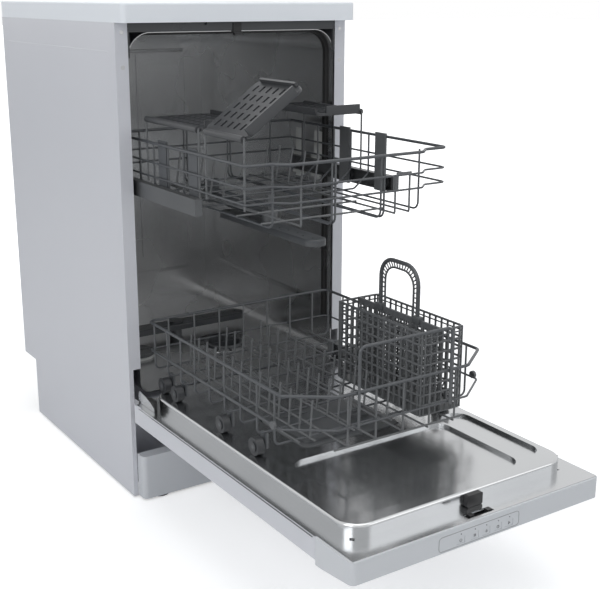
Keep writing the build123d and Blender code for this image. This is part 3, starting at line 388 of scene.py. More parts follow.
def placed(name: str, mesh: bpy.types.Mesh, finish: Finish, body: str,
           smooth: bool = True) -> bpy.types.Object:
    """Link a mesh as a piece, dress it and let it ride.

    Args:
        name: The piece's name.
        mesh: Its mesh, in place.
        finish: Its finish.
        body: The body it rides on.
        smooth: Whether faces are smooth, with sharp edges kept.

    Returns:
        The new object.
    """
    mesh.materials.clear()
    mesh.materials.append(finish.material())
    item = bpy.data.objects.new(name, mesh)
    bpy.context.scene.collection.objects.link(item)
    if smooth:
        mesh.shade_smooth()
        mesh.set_sharp_from_angle(angle=math.radians(SHARP_DEGREES))
    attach(item, body)
    LOG.info("made %s", name)
    return item


def plain_box(bm: bmesh.types.BMesh, low: Point, high: Point) -> list[bmesh.types.BMVert]:
    """Add a box with sharp edges.

    Args:
        bm: The mesh that it goes into.
        low: Lowest corner, in metres.
        high: Highest corner, in metres.

    Returns:
        Its corners.
    """
    size = [b - a for a, b in zip(low, high)]
    middle = [(a + b) / 2 for a, b in zip(low, high)]
    place = Matrix.Translation(middle) @ Matrix.Diagonal((*size, 1.0))
    return bmesh.ops.create_cube(bm, size=1.0, matrix=place)["verts"]


def rounded_plate(bm: bmesh.types.BMesh, low: Point, high: Point, bevel: float,
                  turns: int = 3) -> None:
    """Add a box with every edge rounded.

    Args:
        bm: The mesh that it goes into.
        low: Lowest corner, in metres.
        high: Highest corner, in metres.
        bevel: Radius of the edges, held under half the box's least side.
        turns: Segments of each rounded edge.
    """
    edges = list(dict.fromkeys(e for v in plain_box(bm, low, high) for e in v.link_edges))
    limit = min(b - a for a, b in zip(low, high)) * 0.49
    bmesh.ops.bevel(bm, geom=edges, offset=min(bevel, limit), segments=turns,
                    profile=0.5, affect="EDGES")


def rounded_loop(x0: float, x1: float, y0: float, y1: float, corner: float,
                 turns: int = 5) -> list[tuple[float, float]]:
    """Give the points of a rounded rectangle, closed, from its first corner.

    Args:
        x0: Lowest x.
        x1: Highest x.
        y0: Lowest y.
        y1: Highest y.
        corner: Corner radius.
        turns: Steps of each corner.

    Returns:
        The points, the first one again at the end.
    """
    points = []
    centres = ((x1 - corner, y1 - corner), (x0 + corner, y1 - corner),
               (x0 + corner, y0 + corner), (x1 - corner, y0 + corner))
    for quarter, (cx, cy) in enumerate(centres):
        for i in range(turns + 1):
            angle = math.pi / 2 * (quarter + i / turns)
            points.append((cx + corner * math.cos(angle), cy + corner * math.sin(angle)))
    return points + points[:1]


def tube(bm: bmesh.types.BMesh, points: list[Point], radius: float, sides: int = 10) -> None:
    """Add a round bar along a line of points, with closed ends.

    Args:
        bm: The mesh that it goes into.
        points: The line, in metres.
        radius: The bar's radius.
        sides: Faces round the bar.
    """
    line = [Vector(p) for p in points]
    rings = []
    normal = None
    for i, at in enumerate(line):
        ahead = (line[min(i + 1, len(line) - 1)] - line[max(i - 1, 0)]).normalized()
        if normal is None:
            pick = Vector((0, 0, 1)) if abs(ahead.z) < 0.9 else Vector((1, 0, 0))
            normal = ahead.cross(pick).normalized()
        normal = (normal - ahead * normal.dot(ahead)).normalized()
        other = ahead.cross(normal)
        ring = []
        for k in range(sides):
            angle = 2 * math.pi * k / sides
            offset = normal * math.cos(angle) + other * math.sin(angle)
            ring.append(bm.verts.new(at + offset * radius))
        rings.append(ring)
    for a, b in zip(rings, rings[1:]):
        for k in range(sides):
            bm.faces.new((a[k], a[(k + 1) % sides], b[(k + 1) % sides], b[k]))
    bm.faces.new(rings[0])
    bm.faces.new(list(reversed(rings[-1])))


@dataclass
class StudField:
    """Many equal small solids on points, made by one geometry tree.

    Attributes:
        name: The piece's name.
        shape: What stands on each point.
        size: Radius or half width, and height, in metres.
        finish: The finish of all of them.
    """

    name: str
    shape: StudShape
    size: tuple[float, float]
    finish: Finish

    def _tree(self) -> bpy.types.NodeTree:
        """Build the geometry tree.

        Returns:
            A tree with the named inputs Radius, Height and Finish.
        """
        tree = bpy.data.node_groups.new(f"{self.name}_tree", "GeometryNodeTree")
        for name, way, kind in (("Geometry", "INPUT", "Geometry"), ("Radius", "INPUT", "Float"),
                                ("Height", "INPUT", "Float"), ("Finish", "INPUT", "Material"),
                                ("Geometry", "OUTPUT", "Geometry")):
            tree.interface.new_socket(name=name, in_out=way, socket_type=f"NodeSocket{kind}")
        graph = Graph(tree)
        given = graph.add("NodeGroupInput")
        out = graph.add("NodeGroupOutput")
        stud = self._stud(graph, given)
        facing = graph.add("GeometryNodeInputNamedAttribute", {"Name": "facing"},
                           data_type="FLOAT_VECTOR")
        align = graph.add("FunctionNodeAlignRotationToVector", axis="Z")
        spread = graph.add("GeometryNodeInstanceOnPoints")
        real = graph.add("GeometryNodeRealizeInstances")
        dress = graph.add("GeometryNodeSetMaterial")
        graph.link((facing, "Attribute", align, "Vector"), (given, "Geometry", spread, "Points"),
                   (stud, "Mesh", spread, "Instance"), (align, "Rotation", spread, "Rotation"),
                   (spread, "Instances", real, "Geometry"), (real, "Geometry", dress, "Geometry"),
                   (given, "Finish", dress, "Material"), (dress, "Geometry", out, "Geometry"))
        return tree

    def _stud(self, graph: Graph, given: bpy.types.Node) -> bpy.types.Node:
        """Add the node that makes one solid.

        Args:
            graph: The geometry graph.
            given: Its group input.

        Returns:
            The node, with its sizes linked.
        """
        if self.shape is StudShape.HEAD:
            stud = graph.add("GeometryNodeMeshCylinder", {"Vertices": 16})
            graph.link((given, "Radius", stud, "Radius"), (given, "Height", stud, "Depth"))
        elif self.shape is StudShape.TIP:
            stud = graph.add("GeometryNodeMeshUVSphere", {"Segments": 10, "Rings": 6})
            graph.link((given, "Radius", stud, "Radius"))
        else:
            stud = graph.add("GeometryNodeMeshCube")
            corners = graph.add("ShaderNodeCombineXYZ")
            graph.link((given, "Radius", corners, "X"), (given, "Height", corners, "Y"),
                       (given, "Radius", corners, "Z"), (corners, "Vector", stud, "Size"))
        return stud

    def build(self, points: list[Point], facings: list[Point], body: str,
              slot: str) -> bpy.types.Object:
        """Set the solids on their points and keep the result as a plain mesh.

        Args:
            points: Where they stand.
            facings: The way each one faces.
            body: The body that carries them.
            slot: Not used.

        Returns:
            The piece.
        """
        seeds = bpy.data.meshes.new(f"{self.name}_points")
        seeds.from_pydata([tuple(p) for p in points], [], [])
        facing = seeds.attributes.new("facing", "FLOAT_VECTOR", "POINT")
        flat = [value for direction in facings for value in direction]
        facing.data.foreach_set("vector", flat)
        carrier = bpy.data.objects.new(f"{self.name}_carrier", seeds)
        bpy.context.scene.collection.objects.link(carrier)
        modifier = carrier.modifiers.new("studs", "NODES")
        modifier.node_group = self._tree()
        values = {"Radius": self.size[0], "Height": self.size[1],
                  "Finish": self.finish.material()}
        for item in modifier.node_group.interface.items_tree:
            if item.in_out == "INPUT" and item.name in values:
                modifier[item.identifier] = values[item.name]
        graph = bpy.context.evaluated_depsgraph_get()
        mesh = bpy.data.meshes.new_from_object(carrier.evaluated_get(graph))
        mesh.name = self.name
        bpy.data.objects.remove(carrier)
        return placed(self.name, mesh, self.finish, body)


def node_box(node: str) -> tuple[Vector, Vector]:
    """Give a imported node's lowest and highest corner."""
    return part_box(node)


def evenly(first: float, last: float, count: int) -> list[float]:
    """Give evenly spaced values from first to last."""
    return [first + (last - first) * i / (count - 1) for i in range(count)]


def mirrored(side: Side, first: float, second: float) -> list[float]:
    """Give the x of two distances from the middle on one side, lowest first."""
    return sorted((side.value * first, side.value * second))


@dataclass
class Cabinet:
    """The outer shell and the wash chamber.

    Attributes:
        screw: Head radius and height of the rear screws.
        screw_edge: From the rear panel's edges to the screws.
        screw_ends: From the panel's ends to where their columns and their top row start.
        screw_counts: Screws of a column, and of the top row.
        plug: Radius and height of the flat screws on the front flanges.
        plug_inset: From a side's outer face to those.
        plug_drops: Their distances below the side's top.
        bead: Radius of a side bead.
        bead_sunk: How deep its middle lies in the side, as a share of that radius.
        bead_drop: From the side's top down to its bead.
        bead_end: Where it stops before the side's edges.
        step: How far the tub's steps stand out.
        rear_step: Inset, height and edge radius of the steps of the tub's rear wall.
        rear_step_at: From the tub's foot to the lower one, and from its top to the upper one.
        side_step: Height and edge radius of a side wall's step.
        side_step_at: From the tub's foot, front and rear to a side wall's step.
        wall: From the tub's outer face to where the rear and the side steps stand.
        sheet: Thickness of the added sheets.
        shield_behind_pin: Where the inner shield stands.
        shield_gaps: Its foot above the tray's, and its sides and top inside the carriers'.
        return_gaps: From a front return to the side's front, the plinth and the side's face.
        band_drop: How far the head band runs down beside the tub.
        band_side: Its width there.
        lift: From the tub's top to the band's lower edge.
        press: Radius of the rear panel's pressed lines, and how deep their middle lies.
        frame_margin: Distances of their frame from the sides, the foot and the head.
        frame_corner: Its corner radius.
        rib_end: Where a rib stops beside it.
        louvre: Half width, and start and end above the frame, of a louvre.
        louvre_face: How deep it starts in the panel, how far it stands out, and its edge radius.
        louvre_row: Half the length of their row, and how many it has.
    """

    screw: tuple[float, float] = (3.6 * MM, 1.6 * MM)
    screw_edge: float = 10.0 * MM
    screw_ends: tuple[float, float] = (20.0 * MM, 80.0 * MM)
    screw_counts: tuple[int, int] = (5, 3)
    plug: tuple[float, float] = (3.6 * MM, 0.3 * MM)
    plug_inset: float = 12.0 * MM
    plug_drops: tuple[float, float] = (15.0 * MM, 70.0 * MM)
    bead: float = 2.0 * MM
    bead_sunk: float = 0.85
    bead_drop: float = 46.0 * MM
    bead_end: float = 30.0 * MM
    step: float = 0.7 * MM
    rear_step: tuple[float, float, float] = (46.0 * MM, 7.0 * MM, 0.6 * MM)
    rear_step_at: tuple[float, float] = (70.0 * MM, 60.0 * MM)
    side_step: tuple[float, float] = (9.0 * MM, 0.3 * MM)
    side_step_at: tuple[float, float, float] = (92.0 * MM, 60.0 * MM, 40.0 * MM)
    wall: tuple[float, float] = (2.2 * MM, 1.9 * MM)
    sheet: float = 1.0 * MM
    shield_behind_pin: float = 77.0 * MM
    shield_gaps: tuple[float, float, float] = (3.0 * MM, 2.2 * MM, 4.0 * MM)
    return_gaps: tuple[float, float, float] = (0.3 * MM, 0.3 * MM, 0.9 * MM)
    band_drop: float = 40.0 * MM
    band_side: float = 2.5 * MM
    lift: float = 0.2 * MM
    press: tuple[float, float] = (2.2 * MM, 0.6 * MM)
    frame_margin: tuple[float, float, float] = (45.0 * MM, 60.0 * MM, 90.0 * MM)
    frame_corner: float = 25.0 * MM
    rib_end: float = 30.0 * MM
    louvre: tuple[float, float, float] = (3.0 * MM, 25.0 * MM, 60.0 * MM)
    louvre_face: tuple[float, float, float] = (0.4 * MM, 1.2 * MM, 1.0 * MM)
    louvre_row: tuple[float, int] = (90.0 * MM, 10)

    def build(self) -> None:
        """Make the screws, beads, steps, inner shield, head band and rear pressings."""
        self.flange_screws()
        self.rear_screws()
        self.side_beads()
        self.tub_steps()
        self.kick_shield()
        self.foot_returns()
        self.head_band()
        self.rear_pressings()

    def flange_screws(self) -> None:
        """Set flat screws on the two front flanges, lower than the gap to the closed door."""
        low, high = node_box("side_panel_right")
        points = [(side.value * (high.x - self.plug_inset), low.y - self.plug[1] / 2,
                   high.z - drop) for side in Side for drop in self.plug_drops]
        plugs = StudField("flange_screws", StudShape.HEAD, self.plug, ZINC)
        plugs.build(points, [(0.0, -1.0, 0.0)] * len(points), "cabinet", "galvanised")

    def rear_screws(self) -> None:
        """Set screws down both edges and along the top of the rear panel."""
        low, high = node_box("rear_panel")
        y = high.y + self.screw[1] / 2
        column, row = self.screw_ends
        tall, wide = self.screw_counts
        points = [(x, y, z) for z in evenly(low.z + column, high.z - column, tall)
                  for x in (low.x + self.screw_edge, high.x - self.screw_edge)]
        points += [(x, y, high.z - self.screw_edge)
                   for x in evenly(low.x + row, high.x - row, wide)]
        screws = StudField("rear_screws", StudShape.HEAD, self.screw, ZINC)
        screws.build(points, [(0.0, 1.0, 0.0)] * len(points), "cabinet", "galvanised")

    def side_beads(self) -> None:
        """Press a shallow level bead near the top of each side."""
        low, high = node_box("side_panel_right")
        z = high.z - self.bead_drop
        for side in Side:
            bm = bmesh.new()
            x = side.value * (high.x - self.bead * self.bead_sunk)
            tube(bm, [(x, y, z) for y in evenly(low.y + self.bead_end, high.y - self.bead_end, 12)],
                 self.bead, 12)
            solid(f"side_bead_{side.name.lower()}", bm, ENAMEL, "cabinet")

    def tub_steps(self) -> None:
        """Press the level steps of the tub's rear wall and side walls."""
        low, high = node_box("tub")
        bm = bmesh.new()
        inset, tall, bevel = self.rear_step
        y = high.y - self.wall[0]
        for z in (low.z + self.rear_step_at[0], high.z - self.rear_step_at[1]):
            rounded_plate(bm, (low.x + inset, y - self.step, z), (high.x - inset, y, z + tall),
                          bevel)
        tall, bevel = self.side_step
        up, front, rear = self.side_step_at
        face = high.x - self.wall[1]
        for side in Side:
            ends = mirrored(side, face, face - self.step)
            rounded_plate(bm, (ends[0], low.y + front, low.z + up),
                          (ends[1], high.y - rear, low.z + up + tall), bevel)
        solid("tub_steps", bm, TUB_STEEL, "cabinet")

    def kick_shield(self) -> None:
        """Stand the inner shield on the base, behind the swing of the door's skirt."""
        below, beside, above = self.shield_gaps
        high = node_box("hinge_carriers")[1]
        foot = node_box("base_tray")[0].z + below
        half = high.x - beside
        y = node_box("hinge_arms")[1].y - PIN_INSET + self.shield_behind_pin
        bm = bmesh.new()
        plain_box(bm, (-half, y, foot), (half, y + self.sheet, high.z - above))
        solid("kick_shield", bm, ENAMEL, "cabinet", smooth=False)

    def foot_returns(self) -> None:
        """Turn each side's front edge in, beside the plinth."""
        plinth_high = node_box("plinth")[1]
        low, high = node_box("side_panel_right")
        behind, beside, inside = self.return_gaps
        front = low.y + behind
        bm = bmesh.new()
        for side in Side:
            ends = mirrored(side, plinth_high.x + beside, high.x - inside)
            plain_box(bm, (ends[0], front, low.z), (ends[1], front + self.sheet, plinth_high.z))
        solid("foot_returns", bm, ENAMEL, "cabinet", smooth=False)

    def head_band(self) -> None:
        """Close the slot between the head rail and the tub's rim."""
        low, high = node_box("front_frame")
        tub_top = node_box("tub")[1].z
        rim = tub_top + self.lift
        back = low.y + self.sheet
        reach = high.x - self.sheet
        bm = bmesh.new()
        plain_box(bm, (low.x + self.sheet, low.y, rim), (reach, back, low.z))
        for side in Side:
            ends = mirrored(side, reach, reach - self.band_side)
            plain_box(bm, (ends[0], low.y, tub_top - self.band_drop), (ends[1], back, rim))
        solid("head_band", bm, DARK_STEEL, "cabinet", smooth=False)

    def rear_pressings(self) -> None:
        """Press a shallow frame, two ribs and a row of louvres into the rear panel."""
        low, high = node_box("rear_panel")
        beside, below, above = self.frame_margin
        x0, x1 = low.x + beside, high.x - beside
        z0, z1 = low.z + below, high.z - above
        radius, sunk = self.press
        y = high.y - sunk
        bm = bmesh.new()
        tube(bm, [(x, y, z) for x, z in rounded_loop(x0, x1, z0, z1, self.frame_corner)], radius)
        for z in evenly(z0, z1, 4)[1:-1]:
            tube(bm, [(x, y, z) for x in evenly(x0 + self.rib_end, x1 - self.rib_end, 6)], radius)
        solid("rear_pressings", bm, ENAMEL, "cabinet")
        louvres = bmesh.new()
        half, foot, head = self.louvre
        sunk, proud, bevel = self.louvre_face
        reach, count = self.louvre_row
        for x in evenly(-reach, reach, count):
            rounded_plate(louvres, (x - half, high.y - sunk, z1 + foot),
                          (x + half, high.y + proud, z1 + head), bevel, 2)
        solid("rear_louvres", louvres, ENAMEL, "cabinet")


@dataclass
class HingeLinks:
    """Bright steel cheeks that stand beside the inner door at its hinges.

    Attributes:
        thick: Thickness of a cheek.
        outline: Its corners as y and z from the pin, in millimetres.
    """

    thick: float = 1.1 * MM
    outline: tuple[tuple[float, float], ...] = (
        (-62.0, 8.9), (-62.0, 15.0), (-50.0, 22.0), (-30.0, 27.0), (-8.0, 30.0), (-3.0, 26.0),
        (-3.0, 8.9))

    def build(self) -> None:
        """Make one cheek on each side."""
        low, high = node_box("hinge_arms")
        pin_y, pin_z = high.y - PIN_INSET, low.z + PIN_INSET
        for side in Side:
            bm = bmesh.new()
            outer = side.value * high.x
            inner = outer - side.value * self.thick
            rings = [[bm.verts.new((x, pin_y + y * MM, pin_z + z * MM)) for y, z in self.outline]
                     for x in (outer, inner)]
            bm.faces.new(rings[0])
            bm.faces.new(list(reversed(rings[1])))
            for i in range(len(self.outline)):
                j = (i + 1) % len(self.outline)
                bm.faces.new((rings[0][i], rings[0][j], rings[1][j], rings[1][i]))
            solid(f"hinge_link_{side.name.lower()}", bm, STAINLESS, "door",
                  smooth=False)


@dataclass
class DoorTrim:
    """Long ridges on the open door's side strips and along its control head.

    Attributes:
        rib: Width of a ridge.
        rise: Height of a ridge.
        line_rise: Height of a line on the head.
        sink: How deep both sit in the sheet.
        strip_margin: From a strip's edges to its outer ridges.
        ridge_ends: Where a ridge starts behind the head and stops before the liner's rear end.
        count: Ridges on each side strip.
        line_at: From the head's outer edge to its lines.
        head_end: Where a head line stops before the head's end.
        latch_room: Where a head line stops beside the latch.
    """

    rib: float = 1.6 * MM
    rise: float = 0.7 * MM
    line_rise: float = 0.4 * MM
    sink: float = 0.2 * MM
    strip_margin: float = 5.0 * MM
    ridge_ends: tuple[float, float] = (2.0 * MM, 30.0 * MM)
    count: int = 3
    line_at: tuple[float, float] = (8.0 * MM, 15.0 * MM)
    head_end: float = 20.0 * MM
    latch_room: float = 14.0 * MM

    def build(self) -> None:
        """Lay the side ridges and the head's lines."""
        edge = node_box("door_outer_panel")[1].x - self.strip_margin
        liner_high = node_box("door_liner")[1]
        head_low, head_high = node_box("console")
        latch_low, latch_high = node_box("door_latch")
        seat = head_high.z - self.sink
        front, rear = head_high.y + self.ridge_ends[0], liner_high.y - self.ridge_ends[1]
        bm = bmesh.new()
        for side in Side:
            for x in evenly(liner_high.x + self.strip_margin, edge, self.count):
                start = side.value * x - self.rib / 2
                plain_box(bm, (start, front, seat),
                          (start + self.rib, rear, head_high.z + self.rise))
        solid("door_side_ridges", bm, STAINLESS, "door", smooth=False)
        lines = bmesh.new()
        spans = ((head_low.x + self.head_end, latch_low.x - self.latch_room),
                 (latch_high.x + self.latch_room, head_high.x - self.head_end))
        for y in (head_low.y + gap for gap in self.line_at):
            for start, stop in spans:
                plain_box(lines, (start, y, seat),
                          (stop, y + self.rib, head_high.z + self.line_rise))
        solid("head_lines", lines, GREY_PLASTIC, "door", smooth=False)


@dataclass
class CutleryBasket:
    """The lattice basket and its ribbed arch, in place of the plain walled one.

    Attributes:
        height: Basket height without its arch.
        bar: Radius of a lattice bar.
        pitch: Distance between the level bars.
        across: Upright bars over the width.
        along: Upright bars over the length.
        corner: Corner radius.
        floor: Foot and head of the floor.
        end: Where the walls' uprights stop before foot and rim, and an inner rim before the face.
        clear: Where the floor and the other inner bars stop before the faces and their rims.
        row_top: From the rim to where the spacing of the level bars ends.
        rim: Radius of the rim's bar.
        foot: Radius of the foot's bar.
        band: The band's distance below the rim, and its radius.
        post: Radius of the corner posts.
        post_share: Their distance from both walls, as a share of the corner radius.
        middle_half: Half the thickness of the middle wall's rim.
        cross_half: Half the thickness of a cross wall's rim.
        cross_band: Foot and head of that, below the rim.
        cross_rows: Lowest and highest level bar of a cross wall, from foot and rim.
        legs: Where the arch stands, from the basket's near end.
        grip: Radius of the arch.
        bend: Radius of the arch's shoulders.
        least_bend: Least radius of the shoulders inside it.
        arch_feet: How far the arch starts below the rim, and the thin bar above it.
        arch_depth: From the arch to the thin bar inside it.
        thin: Radius of that bar, and of the rungs between them.
        socket_half: Half the width and the length of an arch socket.
        socket_ends: A socket's reach below and above the rim.
        socket_edge: Radius of its edges.
        low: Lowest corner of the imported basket.
        high: Its highest corner, on top of the arch.
        top: Height of the rim.
        middle: Plane of the middle wall and the arch.
        levels: Heights of the level bars.
        xs: Places of the upright bars over the width.
        ys: Places of the upright bars over the length.
    """

    height: float = 134.1 * MM
    bar: float = 1.75 * MM
    pitch: float = 15.5 * MM
    across: int = 7
    along: int = 15
    corner: float = 8.0 * MM
    floor: tuple[float, float] = (0.3 * MM, 2.0 * MM)
    end: float = 1.0 * MM
    clear: float = 2.0 * MM
    row_top: float = 4.0 * MM
    rim: float = 1.9 * MM
    foot: float = 1.6 * MM
    band: tuple[float, float] = (9.0 * MM, 1.2 * MM)
    post: float = 1.5 * MM
    post_share: float = 0.3
    middle_half: float = 0.9 * MM
    cross_half: float = 0.8 * MM
    cross_band: tuple[float, float] = (30.0 * MM, 24.0 * MM)
    cross_rows: tuple[float, float] = (12.0 * MM, 38.0 * MM)
    legs: tuple[float, float] = (62.0 * MM, 155.0 * MM)
    grip: float = 3.4 * MM
    bend: float = 30.0 * MM
    least_bend: float = 6.0 * MM
    arch_feet: tuple[float, float] = (3.0 * MM, 4.0 * MM)
    arch_depth: float = 11.0 * MM
    thin: tuple[float, float] = (1.7 * MM, 1.1 * MM)
    socket_half: tuple[float, float] = (5.0 * MM, 8.0 * MM)
    socket_ends: tuple[float, float] = (7.0 * MM, 5.0 * MM)
    socket_edge: float = 1.5 * MM
    low: Vector = field(init=False)
    high: Vector = field(init=False)
    top: float = field(init=False)
    middle: float = field(init=False)
    levels: list[float] = field(init=False)
    xs: list[float] = field(init=False)
    ys: list[float] = field(init=False)

    def __post_init__(self) -> None:
        """Take the basket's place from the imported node."""
        self.low, self.high = node_box("cutlery_basket")
        self.top = self.low.z + self.height
        self.middle = (self.low.x + self.high.x) / 2
        rows = round(self.height / self.pitch)
        self.levels = evenly(self.low.z + self.floor[1], self.top - self.row_top, rows)[1:-1]
        self.xs = evenly(self.low.x + self.corner, self.high.x - self.corner, self.across)
        self.ys = evenly(self.low.y + self.corner, self.high.y - self.corner, self.along)

    def build(self) -> None:
        """Make the whole basket as one piece."""
        bm = bmesh.new()
        self.walls(bm)
        self.dividers(bm)
        self.arch(bm)
        piece = solid("lattice_basket", bm, GREY_PLASTIC, "cutlery_basket")
        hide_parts("cutlery_basket")

    def walls(self, bm: bmesh.types.BMesh) -> None:
        """Weave the four walls and lay the floor."""
        low, high, top, inset, clear = self.low, self.high, self.top, self.bar, self.clear
        loop = rounded_loop(low.x + inset, high.x - inset, low.y + inset, high.y - inset,
                            self.corner)
        for z in self.levels:
            tube(bm, [(x, y, z) for x, y in loop], self.bar, 6)
        for z, radius in ((low.z + self.foot, self.foot), (top - self.rim, self.rim),
                          (top - self.band[0], self.band[1])):
            tube(bm, [(x, y, z) for x, y in loop], radius, 8)
        stands = [(x, y) for x in self.xs for y in (low.y + inset, high.y - inset)]
        stands += [(x, y) for y in self.ys for x in (low.x + inset, high.x - inset)]
        for x, y in stands:
            tube(bm, [(x, y, low.z + self.end), (x, y, top - self.end)], self.bar, 6)
        inset = self.corner * self.post_share
        for x in (low.x + inset, high.x - inset):
            for y in (low.y + inset, high.y - inset):
                tube(bm, [(x, y, low.z + self.end), (x, y, top - self.end)], self.post, 8)
        plain_box(bm, (low.x + clear, low.y + clear, low.z + self.floor[0]),
                  (high.x - clear, high.y - clear, low.z + self.floor[1]))

    def dividers(self, bm: bmesh.types.BMesh) -> None:
        """Set the long middle wall and the three cross walls."""
        low, high, top, middle = self.low, self.high, self.top, self.middle
        end, clear = self.end, self.clear
        foot = low.z + end
        plain_box(bm, (middle - self.middle_half, low.y + end, top - self.band[0]),
                  (middle + self.middle_half, high.y - end, top))
        for y in self.ys:
            tube(bm, [(middle, y, foot), (middle, y, top - clear)], self.bar, 6)
        for z in self.levels:
            tube(bm, [(middle, low.y + clear, z), (middle, high.y - clear, z)], self.bar, 6)
        band_foot, band_head = top - self.cross_band[0], top - self.cross_band[1]
        rows = evenly(low.z + self.cross_rows[0], top - self.cross_rows[1], 6)
        for y in evenly(low.y, high.y, 5)[1:-1]:
            plain_box(bm, (low.x + end, y - self.cross_half, band_foot),
                      (high.x - end, y + self.cross_half, band_head))
            for x in self.xs:
                tube(bm, [(x, y, foot), (x, y, band_head - clear)], self.bar, 6)
            for z in rows:
                tube(bm, [(low.x + clear, y, z), (high.x - clear, y, z)], self.bar, 6)

    def arch(self, bm: bmesh.types.BMesh) -> None:
        """Raise the ribbed arch on the middle wall."""
        x, top = self.middle, self.top
        outer = self.arch_line(top - self.arch_feet[0], 0.0)
        inner = self.arch_line(top + self.arch_feet[1], self.arch_depth)
        tube(bm, outer, self.grip, 12)
        tube(bm, inner, self.thin[0], 8)
        for ends in list(zip(outer, inner))[1:-1]:
            tube(bm, list(ends), self.thin[1], 6)
        wide, long = self.socket_half
        for leg in self.legs:
            y = self.low.y + leg
            rounded_plate(bm, (x - wide, y - long, top - self.socket_ends[0]),
                          (x + wide, y + long, top + self.socket_ends[1]), self.socket_edge, 2)

    def arch_line(self, base: float, inset: float) -> list[Point]:
        """Give the arch's line, or one set in from it.

        Args:
            base: Height of its feet.
            inset: Distance inside the outer line.

        Returns:
            The points from the near foot to the far one.
        """
        x = self.middle
        y0, y1 = self.low.y + self.legs[0] + inset, self.low.y + self.legs[1] - inset
        shoulder = max(self.bend - inset / 2, self.least_bend)
        peak = self.high.z - self.grip - inset
        turns = 7

        def bow(centre: float, first: float) -> list[Point]:
            """Give a quarter turn about a shoulder's centre, without its first point."""
            angles = [first - math.pi / 2 * i / turns for i in range(1, turns + 1)]
            return [(x, centre + shoulder * math.cos(angle),
                     peak - shoulder + shoulder * math.sin(angle)) for angle in angles]

        points = [(x, y0, z) for z in evenly(base, peak - shoulder, turns)]
        points += bow(y0 + shoulder, math.pi)
        points += [(x, y, peak) for y in evenly(y0 + shoulder, y1 - shoulder, 5)[1:]]
        points += bow(y1 - shoulder, math.pi / 2)
        return points + [(x, y1, z) for z in evenly(peak - shoulder, base, turns)[1:]]


@dataclass
class Keys:
    """The prints on the five keys in the door's end face.

    Attributes:
        line: Radius of a sign's line.
        reach: Half the width of a sign.
        segments: Steps of a ring.
        proud: How far a print's middle stands before its face.
        border: From the outer keys to the line round them: left, right, below and above.
        border_corner: Corner radius of that line.
        border_line: Its radius.
        dot: Radius of a lamp dot.
        dot_lift: From a key's top up to its dot.
    """

    line: float = 0.35 * MM
    reach: float = 2.0 * MM
    segments: int = 20
    proud: float = 0.05 * MM
    border: tuple[float, float, float, float] = (32.0 * MM, 11.0 * MM, 2.8 * MM, 9.0 * MM)
    border_corner: float = 5.0 * MM
    border_line: float = 0.25 * MM
    dot: float = 0.8 * MM
    dot_lift: float = 4.5 * MM

    def build(self) -> None:
        """Print one plain sign on each key, and the line and dots round them."""
        for key in Key:
            node = f"button_{key.value}"
            low, high = node_box(node)
            bm = bmesh.new()
            self.sign(bm, key, ((low.x + high.x) / 2, low.y - self.proud, (low.z + high.z) / 2))
            solid(f"key_print_{key.value}", bm, PRINT, node, smooth=False)
        self.surround()

    def surround(self) -> None:
        """Print the thin line round the keys and a lamp dot over each."""
        face = node_box("console")[0].y - self.proud
        boxes = [node_box(f"button_{key.value}") for key in Key]
        first, last = boxes[0], boxes[-1]
        left, right, below, above = self.border
        bm = bmesh.new()
        line = rounded_loop(first[0].x - left, last[1].x + right, first[0].z - below,
                            first[1].z + above, self.border_corner)
        tube(bm, [(x, face, z) for x, z in line], self.border_line, 6)
        solid("key_surround", bm, PRINT, "door", smooth=False)
        points = [((low.x + high.x) / 2, face, high.z + self.dot_lift) for low, high in boxes]
        dots = StudField("lamp_dots", StudShape.TIP, (self.dot, self.dot), PRINT)
        dots.build(points, [(0.0, -1.0, 0.0)] * len(points), "door", "white_plastic")

    def sign(self, bm: bmesh.types.BMesh, key: Key, centre: Point) -> None:
        """Draw a generic sign: an open ring, bars, a half ring, a clock or a wedge.

        Args:
            bm: The mesh that it goes into.
            key: The key that it stands on.
            centre: The sign's centre, on the face that it is printed on.
        """
        bar = ((-self.reach, 0.0), (self.reach, 0.0))
        if key is Key.POWER:
            self.arc(bm, centre, 0.15, 0.85)
            self.stroke(bm, centre, (0.0, 0.4 * MM), (0.0, 2.4 * MM))
        elif key is Key.PROGRAM:
            for rise in (-1.4 * MM, 0.0, 1.4 * MM):
                self.stroke(bm, centre, (bar[0][0], rise), (bar[1][0], rise))
        elif key is Key.HALF_LOAD:
            self.arc(bm, centre, 0.5, 1.0)
            self.stroke(bm, centre, *bar)
        elif key is Key.DELAY:
            self.arc(bm, centre, 0.0, 1.0)
            self.stroke(bm, centre, (0.0, 0.0), (0.0, 1.5 * MM))
        else:
            low, tip, high = (-1.4 * MM, -1.8 * MM), (1.8 * MM, 0.0), (-1.4 * MM, 1.8 * MM)
            for ends in ((low, tip), (tip, high), (high, low)):
                self.stroke(bm, centre, *ends)

    def stroke(self, bm: bmesh.types.BMesh, centre: Point, start: tuple[float, float],
               stop: tuple[float, float]) -> None:
        """Draw a straight line of a sign.

        Args:
            bm: The mesh that it goes into.
            centre: The sign's centre.
            start: Its start, across and up from there.
            stop: Its end.
        """
        x, y, z = centre
        tube(bm, [(x + across, y, z + up) for across, up in (start, stop)], self.line, 6)

    def arc(self, bm: bmesh.types.BMesh, centre: Point, start: float, end: float) -> None:
        """Draw part of a ring.

        Args:
            bm: The mesh that it goes into.
            centre: The sign's centre.
            start: Where it starts, in turns from the top.
            end: Where it ends, in turns.
        """
        x, y, z = centre
        turns = [2 * math.pi * at + math.pi / 2 for at in evenly(start, end, self.segments + 1)]
        tube(bm, [(x + self.reach * math.cos(turn), y, z + self.reach * math.sin(turn))
                  for turn in turns], self.line, 6)


